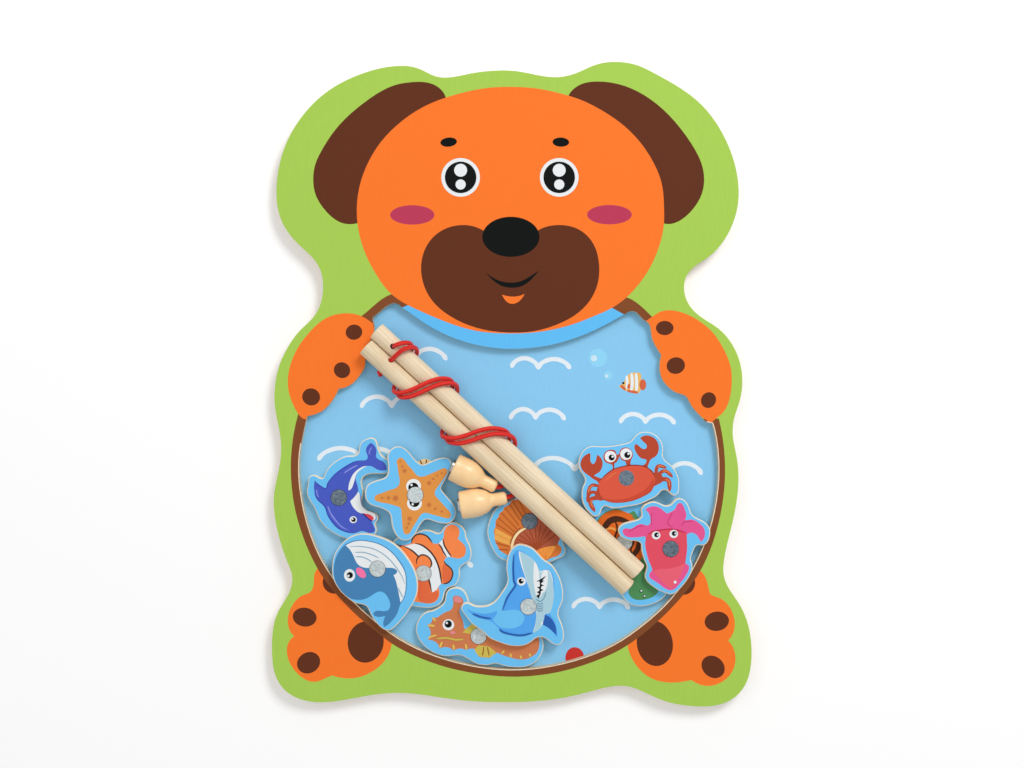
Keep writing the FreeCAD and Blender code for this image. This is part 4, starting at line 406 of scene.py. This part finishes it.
class Link:
    """A socket in a material. Operators on it add Math nodes."""

    def __init__(self, finish, socket):
        self.finish = finish
        self.socket = socket

    def math(self, operation, *values):
        return self.finish.node("ShaderNodeMath", {"operation": operation}, dict(enumerate(values)))

    def __add__(self, other):
        return self.math("ADD", self, other)

    __radd__ = __add__

    def __sub__(self, other):
        return self.math("SUBTRACT", self, other)

    def __rsub__(self, other):
        return self.math("SUBTRACT", other, self)

    def __mul__(self, other):
        return self.math("MULTIPLY", self, other)

    def __gt__(self, other):
        return self.math("GREATER_THAN", self, other)


class Finish:
    """One material, built around its surface shader."""

    def __init__(self, name, constants=None):
        self.material = bpy.data.materials.new(name)
        self.material.use_nodes = True
        self.tree = self.material.node_tree
        self.shader = self.tree.nodes["Principled BSDF"]
        for socket, value in (constants or {}).items():
            self.shader.inputs[socket].default_value = value

    def node(self, kind, settings=None, sockets=None, output=0):
        """Adds a node: its settings first, then the values or links of its sockets."""
        added = self.tree.nodes.new(kind)
        for name, value in (settings or {}).items():
            setattr(added, name, value)
        for name, value in (sockets or {}).items():
            if isinstance(value, Link):
                self.tree.links.new(value.socket, added.inputs[name])
            else:
                added.inputs[name].default_value = value
        return Link(self, added.outputs[output])

    def feed(self, socket, link):
        """Lets a link drive one of the shader's sockets."""
        self.tree.links.new(link.socket, self.shader.inputs[socket])

    def place(self, scale=(1, 1, 1), turn=0.0):
        """The place on the part in millimetres, turned about the upright axis and then scaled."""
        coordinates = self.node("ShaderNodeTexCoord", output=3)
        turned = self.node("ShaderNodeVectorRotate", {"rotation_type": "Z_AXIS"},
                           {"Vector": coordinates, "Angle": turn})
        stretch = tuple(1000 * one for one in scale)
        return self.node("ShaderNodeVectorMath", {"operation": "MULTIPLY"}, {0: turned, 1: stretch})

    def noise(self, scale, detail=2.0, where=None):
        """Smooth noise between 0 and 1, with its scale per millimetre."""
        sockets = {"Vector": where or self.place(), "Scale": scale, "Detail": detail}
        return self.node("ShaderNodeTexNoise", None, sockets)

    def mix(self, factor, first, second):
        """A colour between two colours."""
        return self.node("ShaderNodeMix", {"data_type": "RGBA"}, {0: factor, 6: first, 7: second}, 2)

    def bump(self, height, depth):
        """Relief of a depth in millimetres."""
        sockets = {"Height": height, "Distance": depth * MM, "Strength": 1.0}
        self.feed("Normal", self.node("ShaderNodeBump", None, sockets))


def rgb(red, green, blue):
    """A colour as it looks, turned into light."""
    steps = (red / 255, green / 255, blue / 255)
    return tuple(c / 12.92 if c < 0.04 else ((c + 0.055) / 1.055) ** 2.4 for c in steps) + (1.0,)


def lay_ink(finish, colour):
    """Ink over fine wood grain: faint streaks and dots of the print, with their mix given back for the
    sheen.
    """
    streaks = finish.noise(1.0, 3.0, finish.place((2.2, 0.18, 1)))
    specks = finish.noise(2.6, 2.0)
    worn = streaks * 0.55 + specks * 0.45
    dark = tuple(0.9 * c for c in colour[:3]) + (1.0,)
    light = tuple(min(1.0, 1.07 * c) for c in colour[:3]) + (1.0,)
    return finish.mix(worn, dark, light), worn


def printed_finish(name, colour):
    """Ink printed on a sanded board."""
    finish = Finish(name, {"Specular IOR Level": 0.07})
    colour, worn = lay_ink(finish, colour)
    finish.feed("Base Color", colour)
    finish.feed("Roughness", 0.42 + worn * 0.16)
    finish.bump(worn, 0.012)
    return finish.material


def wood_colour(finish, pale, deep, turn=0.0):
    """Pale wood: fine grain along the piece, with pores and slow changes of tone."""
    grain = finish.noise(1.0, 4.0, finish.place((0.05, 1.3, 1.3), turn))
    pores = finish.noise(1.0, 3.0, finish.place((0.35, 5.0, 5.0), turn))
    tone = finish.noise(0.06, 1.0)
    mixed = (grain * 0.6 + pores * 0.2 + tone * 0.2 - 0.5) * WOOD_CONTRAST + WOOD_MIDDLE
    return finish.mix(mixed, deep, pale), mixed


def wood_finish(name, pale, deep, turn=0.0):
    """Bare sanded wood."""
    finish = Finish(name, {"Specular IOR Level": 0.3})
    colour, grain = wood_colour(finish, rgb(*pale), rgb(*deep), turn)
    finish.feed("Base Color", colour)
    finish.feed("Roughness", 0.72 - grain * 0.2)
    finish.bump(grain, 0.03)
    return finish.material


def tile_finish(name, top_ink):
    """A tile: ink on its face, and bare layered wood on its bevel, sides and back."""
    finish = Finish(name, {"Specular IOR Level": 0.3})
    upright = finish.node("ShaderNodeSeparateXYZ", None,
                          {0: finish.node("ShaderNodeNewGeometry", output=1)}, 2)
    face = upright > INKED
    colour, worn = lay_ink(finish, top_ink)
    wood, grain = wood_colour(finish, rgb(250, 240, 220), rgb(226, 206, 174))
    finish.feed("Base Color", finish.mix(face, wood, colour))
    finish.feed("Roughness", 0.7 - face * 0.22)
    finish.bump(grain * 0.6 + worn * 0.4, 0.015)
    return finish.material


def zinc_finish(name, dark, pale):
    """Dull zinc plating: crystals of different greys, fine scratches and a cloudy sheen."""
    finish = Finish(name, {"Metallic": 0.45})
    crystals = finish.node("ShaderNodeTexVoronoi", None, {"Vector": finish.place(), "Scale": 1.6}, 1)
    grey = finish.node("ShaderNodeSeparateColor", None, {0: crystals})
    clouds = finish.noise(0.9, 4.0)
    scratches = finish.noise(1.0, 2.0, finish.place((0.5, 7.0, 1), 0.6))
    shade = grey * 0.45 + clouds * 0.4 + scratches * 0.15
    finish.feed("Base Color", finish.mix(shade, rgb(*dark), rgb(*pale)))
    finish.feed("Roughness", 0.4 + clouds * 0.25)
    finish.bump(shade, 0.02)
    return finish.material


def magnet_finish(name):
    """Plated magnet: bright, with faint turning marks."""
    finish = Finish(name, {"Metallic": 1.0})
    marks = finish.noise(3.0, 2.0)
    finish.feed("Base Color", finish.mix(marks, rgb(120, 120, 122), rgb(205, 205, 205)))
    finish.feed("Roughness", 0.22 + marks * 0.2)
    return finish.material


def braid_finish(name):
    """A braided cord: two sets of strands that cross, with a painted highlight on their backs and painted
    shade between.
    """
    finish = Finish(name, {"Sheen Weight": 0.15, "Sheen Roughness": 0.4, "Specular IOR Level": 0.25})
    place = finish.node("ShaderNodeTexCoord", output=2)
    split = finish.node("ShaderNodeSeparateXYZ", None, {0: place})
    around = finish.node("ShaderNodeSeparateXYZ", None, {0: place}, 1)
    rising = split * BRAID_ALONG + around * BRAID_AROUND
    falling = split * BRAID_ALONG - around * BRAID_AROUND
    strands = rising.math("SINE", rising) * falling.math("SINE", falling) * 0.5 + 0.5
    threads = finish.noise(5.0, 2.0)
    shade = strands * 0.75 + threads * 0.25
    # The red runs dark between the strands and bright on their backs: painted shade and painted highlight
    # over the braid's pattern.
    finish.feed("Base Color", finish.mix(shade, rgb(172, 6, 14), rgb(255, 60, 48)))
    finish.feed("Roughness", 0.8 - shade * 0.2)
    finish.bump(shade, 0.12)
    return finish.material


def plastic_finish(name):
    """Moulded cream plastic: a soft gloss over barely uneven colour."""
    finish = Finish(name, {"Subsurface Weight": 0.25, "Subsurface Scale": 0.002, "Coat Weight": 0.12,
                           "Coat Roughness": 0.2})
    clouds = finish.noise(0.25, 3.0)
    skin = finish.noise(2.4, 2.0)
    finish.feed("Base Color", finish.mix(clouds, rgb(247, 203, 146), rgb(255, 220, 168)))
    finish.feed("Roughness", 0.28 + skin * 0.14)
    finish.bump(skin, 0.008)
    return finish.material


def smooth(points, closed):
    """Points along a smooth curve through the given ones."""
    count = len(points)
    if count < 3:
        return [Vector(one) for one in points]
    spans = count if closed else count - 1
    drawn = []
    for number in range(spans):
        near = [points[(number + step) % count] if closed else points[min(max(number + step, 0), count - 1)]
                for step in (-1, 0, 1, 2)]
        before, start, end, after = (Vector(one) for one in near)
        for part in range(STEPS_PER_SPAN):
            t = part / STEPS_PER_SPAN
            square = 2 * before - 5 * start + 4 * end - after
            cube = 3 * start - before - 3 * end + after
            drawn.append(0.5 * (2 * start + (end - before) * t + square * t * t + cube * t ** 3))
    if not closed:
        drawn.append(Vector(points[-1]))
    return drawn


def patch_outline(patch):
    """The closed outline of a printed patch."""
    if patch["kind"] == "dot":
        turn = Matrix.Rotation(math.radians(patch["turn"]), 2)
        angles = [2 * math.pi * k / DOT_CORNERS for k in range(DOT_CORNERS)]
        rim = [Vector((patch["across"] * math.cos(angle), patch["up"] * math.sin(angle)))
               for angle in angles]
        return [Vector(patch["centre"]) + turn @ place for place in rim]
    if patch["kind"] == "line":
        middle = smooth(patch["points"], False)
        left, right = [], []
        for number, place in enumerate(middle):
            along = middle[min(number + 1, len(middle) - 1)] - middle[max(number - 1, 0)]
            side = Vector((-along.y, along.x)).normalized()
            share = number / (len(middle) - 1)
            widening = min(1.0, LINE_PARTS * min(share, 1 - share))
            half = patch["width"] / 2 * (LINE_TIP + (1 - LINE_TIP) * widening)
            left.append(place + side * half)
            right.append(place - side * half)
        return left + right[::-1]
    strokes = patch["strokes"]
    if isinstance(strokes[0], tuple):
        return smooth(strokes, True)
    outline = []
    for number, stroke in enumerate(strokes):
        after = strokes[(number + 1) % len(strokes)]
        outline += smooth(list(stroke) + [after[0]], False)[:-1]
    return outline


def add_piece(name, work, materials):
    """A piece of the board's body, from a mesh that was built up."""
    bmesh.ops.recalc_face_normals(work, faces=work.faces)
    mesh = bpy.data.meshes.new(name)
    for material in materials:
        mesh.materials.append(material)
    work.to_mesh(mesh)
    work.free()
    piece = bpy.data.objects.new(name, mesh)
    bpy.context.collection.objects.link(piece)
    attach(piece, "root")
    return piece


def print_patches(name, patches, seat, materials):
    """One piece of thin closed patches, each laid a hair above the one before."""
    used = sorted({patch["ink"] for patch in patches})
    work = bmesh.new()
    for layer, patch in enumerate(patches, start=1):
        outline = patch_outline(patch)
        top = layer * PATCH_STEP
        upper = [work.verts.new(seat @ (Vector((p.x, p.y, top)) * MM)) for p in outline]
        lower = [work.verts.new(seat @ (Vector((p.x, p.y, top - PATCH_DEPTH)) * MM)) for p in outline]
        triangles = geometry.tessellate_polygon([[Vector((p.x, p.y, 0)) for p in outline]])
        faces = [work.faces.new([upper[k] for k in one]) for one in triangles]
        faces += [work.faces.new([lower[k] for k in reversed(one)]) for one in triangles]
        for number in range(len(outline)):
            after = (number + 1) % len(outline)
            faces.append(work.faces.new([upper[number], lower[number], lower[after], upper[after]]))
        for face in faces:
            face.material_index = used.index(patch["ink"])
    add_piece(name, work, [materials[one] for one in used])


def tile_seat(nodes, name, disc):
    """A tile's place and tilt, read from its steel disc's flat top."""
    mesh = nodes[name + "_disc"].data
    tops = [face for face in mesh.polygons if face.normal.z > UPRIGHT]
    level = max(face.center.dot(face.normal) for face in tops)
    tops = [face for face in tops if face.center.dot(face.normal) > level - SAME_LEVEL]
    normal = sum((face.normal * face.area for face in tops), Vector()).normalized()
    total = sum(face.area for face in tops)
    centre = sum((face.center * face.area for face in tops), Vector()) / total
    turn = Vector((0, 0, 1)).rotation_difference(normal).to_matrix().to_4x4()
    origin = centre - turn @ (Vector((disc[0], disc[1], 0)) * MM)
    return Matrix.Translation(origin) @ turn


def disc_cap(name, seat, disc, painted_gap_shade, zinc):
    """The bevelled face of a steel disc, pressed into its tile, with a fine ring of dark ink round it as
    painted shade of the gap.
    """
    work = bmesh.new()
    angles = [2 * math.pi * k / DISC_CORNERS for k in range(DISC_CORNERS)]
    rings = []
    for radius, height in DISC_RINGS:
        places = [Vector((disc[0] + radius * math.cos(angle), disc[1] + radius * math.sin(angle), height))
                  for angle in angles]
        rings.append([work.verts.new(seat @ (place * MM)) for place in places])
    for number, (lower, upper) in enumerate(zip(rings, rings[1:])):
        for here in range(DISC_CORNERS):
            after = (here + 1) % DISC_CORNERS
            face = work.faces.new([lower[here], lower[after], upper[after], upper[here]])
            # The outer rings take the dark ink: painted shade of the gap round the disc.
            face.material_index = 0 if number < DISC_GAP_SHADE_RINGS else 1
    work.faces.new(rings[-1]).material_index = 1
    work.faces.new(rings[0][::-1])
    add_piece(name, work, [painted_gap_shade, zinc])


def edge_loops(mesh, height):
    """The closed loops of points round the flat faces that lie at a height."""
    work = bmesh.new()
    work.from_mesh(mesh)
    bmesh.ops.remove_doubles(work, verts=work.verts, dist=SAME_POINT)
    tops = {face for face in work.faces
            if face.normal.z > UPRIGHT and abs(face.calc_center_median().z - height) < SAME_LEVEL}
    edges = [edge for edge in work.edges if sum(face in tops for face in edge.link_faces) == 1]
    joined = {}
    for edge in edges:
        for vert in edge.verts:
            joined.setdefault(vert, []).append(edge.other_vert(vert))
    loops, seen = [], set()
    for start in joined:
        if start in seen:
            continue
        loop, here, came = [], start, None
        while here not in seen:
            seen.add(here)
            loop.append(here.co.copy())
            onward = [vert for vert in joined[here] if vert is not came and vert not in seen]
            came, here = here, (onward[0] if onward else here)
        loops.append(loop)
    work.free()
    return loops


def cut_edge_highlight(name, loop, material):
    """A narrow pale strip along the frame's inner edge, in the pond's lower part: the cut wood's pale
    colour, made paler as a painted highlight where light falls on it.
    """
    turning = sum(one.x * two.y - two.x * one.y for one, two in zip(loop, loop[1:] + loop[:1]))
    outward = -1 if turning > 0 else 1
    highest = EDGE_HIGHLIGHT_BELOW * MM
    first = next(k for k in range(len(loop)) if loop[k - 1].y > highest >= loop[k].y)
    run = [place for place in loop[first:] + loop[:first] if place.y <= highest]
    work = bmesh.new()
    rows = []
    for before, place, after in zip(run, run[1:], run[2:]):
        side = Vector((before.y - after.y, after.x - before.x, 0)).normalized() * outward
        flat = Vector((place.x, place.y, FRAME_TOP * MM))
        rows.append([work.verts.new(flat + (side * across + Vector((0, 0, rise))) * MM)
                     for across, rise in EDGE_HIGHLIGHT_SECTION])
    for here, after in zip(rows, rows[1:]):
        for one in range(len(EDGE_HIGHLIGHT_SECTION)):
            two = (one + 1) % len(EDGE_HIGHLIGHT_SECTION)
            work.faces.new([here[one], here[two], after[two], after[one]])
    work.faces.new(rows[0])
    work.faces.new(rows[-1][::-1])
    add_piece(name, work, [material])


def dress(node, material):
    """Gives a CAD piece its one material."""
    node.data.materials.clear()
    node.data.materials.append(material)


def on_rods(along, across, up):
    """A point of the rods' frame on the board, in metres."""
    turned = Matrix.Rotation(RODS_HEADING, 3, "Z") @ Vector((along, across, up))
    return (RODS_START + turned) * MM


def cord_points(route, holder):
    """A cord's control points, from its knot to the inside of its magnet's holder."""
    heading = math.radians(holder["heading"])
    axis = Vector((math.cos(heading), math.sin(heading), 0))
    base = Vector((*holder["base"], HOLDER_AXIS_HEIGHT))
    leaves = (base + axis * (HOLDER_LENGTH + CORD_LEAVES_HOLDER)) * MM
    ends = (base + axis * (HOLDER_LENGTH - CORD_GRIP)) * MM
    return [on_rods(*place) for place in route] + [leaves, ends]


def add_knot(side, points, material):
    """The knot below a rod, where its cord starts: a ball with turning lobes."""
    step = (points[1] - points[0]).normalized()
    centre = points[0] - step * (KNOT_DIAMETER / 2 - KNOT_OVERLAP) * MM
    work = bmesh.new()
    bmesh.ops.create_icosphere(work, subdivisions=4, radius=KNOT_DIAMETER / 2 * MM)
    for vert in work.verts:
        turn = KNOT_LOBES * math.atan2(vert.co.y, vert.co.x) + KNOT_TWIST * vert.co.z
        vert.co = vert.co * (1 - KNOT_LOBE_DEPTH + KNOT_LOBE_DEPTH * math.sin(turn)) + centre
    for face in work.faces:
        face.smooth = True
    return add_piece(side + "_cord_knot", work, [material])


def add_cord(side, route, material):
    """One cord with its knot: wound round both rods, and tied off in its holder."""
    points = cord_points(route, HOLDERS[side])
    curve = bpy.data.curves.new(side + "_cord_line", "CURVE")
    curve.dimensions = "3D"
    curve.bevel_depth = CORD_DIAMETER / 2 * MM
    curve.bevel_resolution = 4
    curve.resolution_u = 12
    curve.use_fill_caps = True
    run = curve.splines.new("NURBS")
    run.points.add(len(points) - 1)
    for place, point in zip(points, run.points):
        point.co = (*place, 1.0)
    run.order_u = 3
    run.use_endpoint_u = True
    curve.materials.append(material)
    cord = bpy.data.objects.new(side + "_braided_cord", curve)
    bpy.context.collection.objects.link(cord)
    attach(cord, "root")
    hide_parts(side + "_cord")

    knot = add_knot(side, points, material)


def add_camera():
    """The camera looks straight down on the board's middle, as in the photograph."""
    height = IMAGE_WIDTH * MM_PER_PIXEL * LENS / SENSOR + FRAME_TOP
    data = bpy.data.cameras.new("overhead_camera")
    data.lens = LENS
    data.sensor_width = SENSOR
    data.sensor_fit = "HORIZONTAL"
    camera = bpy.data.objects.new("overhead_camera", data)
    camera.location = (0, 0, height * MM)
    bpy.context.collection.objects.link(camera)
    bpy.context.scene.camera = camera


def add_lamp(name, place, width, power):
    """A square soft lamp that faces the board's middle."""
    data = bpy.data.lights.new(name, "AREA")
    data.shape = "SQUARE"
    data.size = width
    data.energy = power
    lamp = bpy.data.objects.new(name, data)
    lamp.location = place
    lamp.rotation_euler = (-Vector(place)).to_track_quat("-Z", "Y").to_euler()
    bpy.context.collection.objects.link(lamp)


def add_studio():
    """A white floor that keeps the shadow, a white surround and soft lamps from the upper right."""
    mesh = bpy.data.meshes.new("floor")
    corners = [(-FLOOR_HALF, -FLOOR_HALF, 0), (FLOOR_HALF, -FLOOR_HALF, 0), (FLOOR_HALF, FLOOR_HALF, 0),
               (-FLOOR_HALF, FLOOR_HALF, 0)]
    mesh.from_pydata(corners, [], [(0, 1, 2, 3)])
    floor = bpy.data.objects.new("floor", mesh)
    bpy.context.collection.objects.link(floor)
    floor.location.z = -FLOOR_GAP
    finish = Finish("floor_paper", {
        "Base Color": (0.99, 0.99, 0.99, 1), "Roughness": 0.9, "Specular IOR Level": 0.0,
        "Emission Color": (1, 1, 1, 1), "Emission Strength": 0.05,
    })
    mesh.materials.append(finish.material)

    world = bpy.data.worlds.new("surround")
    bpy.context.scene.world = world
    world.use_nodes = True
    tree = world.node_tree
    paths = tree.nodes.new("ShaderNodeLightPath")
    seen = tree.nodes.new("ShaderNodeMath")
    seen.operation = "MAXIMUM"
    tree.links.new(paths.outputs["Is Camera Ray"], seen.inputs[0])
    tree.links.new(paths.outputs["Is Glossy Ray"], seen.inputs[1])
    strength = tree.nodes.new("ShaderNodeMapRange")
    strength.inputs["To Min"].default_value = SURROUND_LIGHT
    strength.inputs["To Max"].default_value = 1.0
    tree.links.new(seen.outputs[0], strength.inputs["Value"])
    background = tree.nodes["Background"]
    background.inputs["Color"].default_value = (1, 1, 1, 1)
    tree.links.new(strength.outputs[0], background.inputs["Strength"])

    bpy.context.scene.view_settings.view_transform = "Standard"

    for lamp in LAMPS:
        add_lamp(*lamp)


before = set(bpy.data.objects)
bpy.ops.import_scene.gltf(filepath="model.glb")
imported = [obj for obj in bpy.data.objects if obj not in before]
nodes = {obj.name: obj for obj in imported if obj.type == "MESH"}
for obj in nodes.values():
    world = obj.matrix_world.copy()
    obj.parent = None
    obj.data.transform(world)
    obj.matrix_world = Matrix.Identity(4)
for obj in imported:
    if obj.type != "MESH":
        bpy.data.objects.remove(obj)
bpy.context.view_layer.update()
add_camera()
braid = braid_finish("braided_red")
add_cord("upper", UPPER_CORD, braid)
add_cord("lower", LOWER_CORD, braid)

inks = {name: printed_finish("ink_" + name, rgb(*INKS[name])) for name in INKS}
bare_wood = wood_finish("board_edge_wood", (238, 220, 188), (196, 170, 130))
# Paler than the board's edge wood: a painted highlight on the pond's cut edge.
pale_wood_highlight = wood_finish("cut_edge_highlight_wood", (250, 240, 222), (226, 206, 172))
for node, finish in {
    "back_board": bare_wood,
    "frame_board": bare_wood,
    "frame_print_green": inks["grass_green"],
    "frame_print_orange": inks["fur_orange"],
    "frame_print_brown": inks["fur_brown"],
    "frame_print_rim": inks["rim_brown"],
    "frame_print_band": inks["band_blue"],
    "frame_print_cheek": inks["cheek_red"],
    "frame_print_black": inks["black"],
    "frame_print_white": inks["white"],
    "pond_print_water": inks["pond_blue"],
    "pond_print_foam": inks["foam_white"],
    "pond_print_bubbles": inks["bubble_pale"],
    "pond_print_coral": inks["coral_red"],
    "pond_print_striped_fish": inks["fish_tan"],
    "figure_whites": inks["white"],
    "figure_pupils": inks["black"],
    "dolphin_figure": inks["dolphin_violet"],
    "starfish_figure": inks["starfish_orange"],
    "whale_figure": inks["whale_blue"],
    "clownfish_figure": inks["clown_orange"],
    "seahorse_figure": inks["seahorse_brown"],
    "shark_figure": inks["shark_blue"],
    "scallop_figure": inks["scallop_orange"],
    "crab_figure": inks["crab_claw"],
    "squid_figure": inks["squid_pink"],
    "turtle_figure": inks["turtle_green"],
    "upper_rod": wood_finish("upper_dowel_wood", (246, 230, 200), (212, 186, 150), -RODS_HEADING),
    "lower_rod": wood_finish("lower_dowel_wood", (242, 226, 194), (206, 180, 142), -RODS_HEADING),
}.items():
    dress(nodes[node], finish)
tile_wood = tile_finish("tile_face_and_wood", rgb(*INKS["tile_blue"]))
dark_zinc = zinc_finish("dark_zinc", (38, 54, 70), (118, 136, 148))
pale_zinc = zinc_finish("pale_zinc", (140, 152, 158), (214, 222, 220))
cream_plastic = plastic_finish("cream_plastic")
plated = magnet_finish("plated_magnet")
for name, prints in TILE_PRINTS.items():
    zinc = dark_zinc if name in DARK_DISCS else pale_zinc
    dress(nodes[name + "_tile"], tile_wood)
    dress(nodes[name + "_disc"], zinc)
    seat = tile_seat(nodes, name, prints["disc"])
    print_patches(name + "_fine_print", prints["patches"], seat, inks)
    # The dark ink ring round each disc is painted shade of the gap between disc and tile.
    disc_cap(name + "_disc_face", seat, prints["disc"], inks["line_dark"], zinc)
for side in ("upper", "lower"):
    dress(nodes[side + "_magnet_holder"], cream_plastic)
    dress(nodes[side + "_magnet"], plated)
print_patches("pond_fine_print", POND_PRINTS, Matrix.Translation((0, 0, POND_FLOOR * MM)), inks)
loops = edge_loops(nodes["frame_board"].data, (FRAME_TOP - PRINT_DEPTH) * MM)
pond_edge = min(loops, key=lambda loop: max(place.y for place in loop))
# A pale strip on the pond's edge where light falls: the cut wood with a painted highlight.
cut_edge_highlight("pond_cut_edge_highlight", pond_edge, pale_wood_highlight)
add_studio()
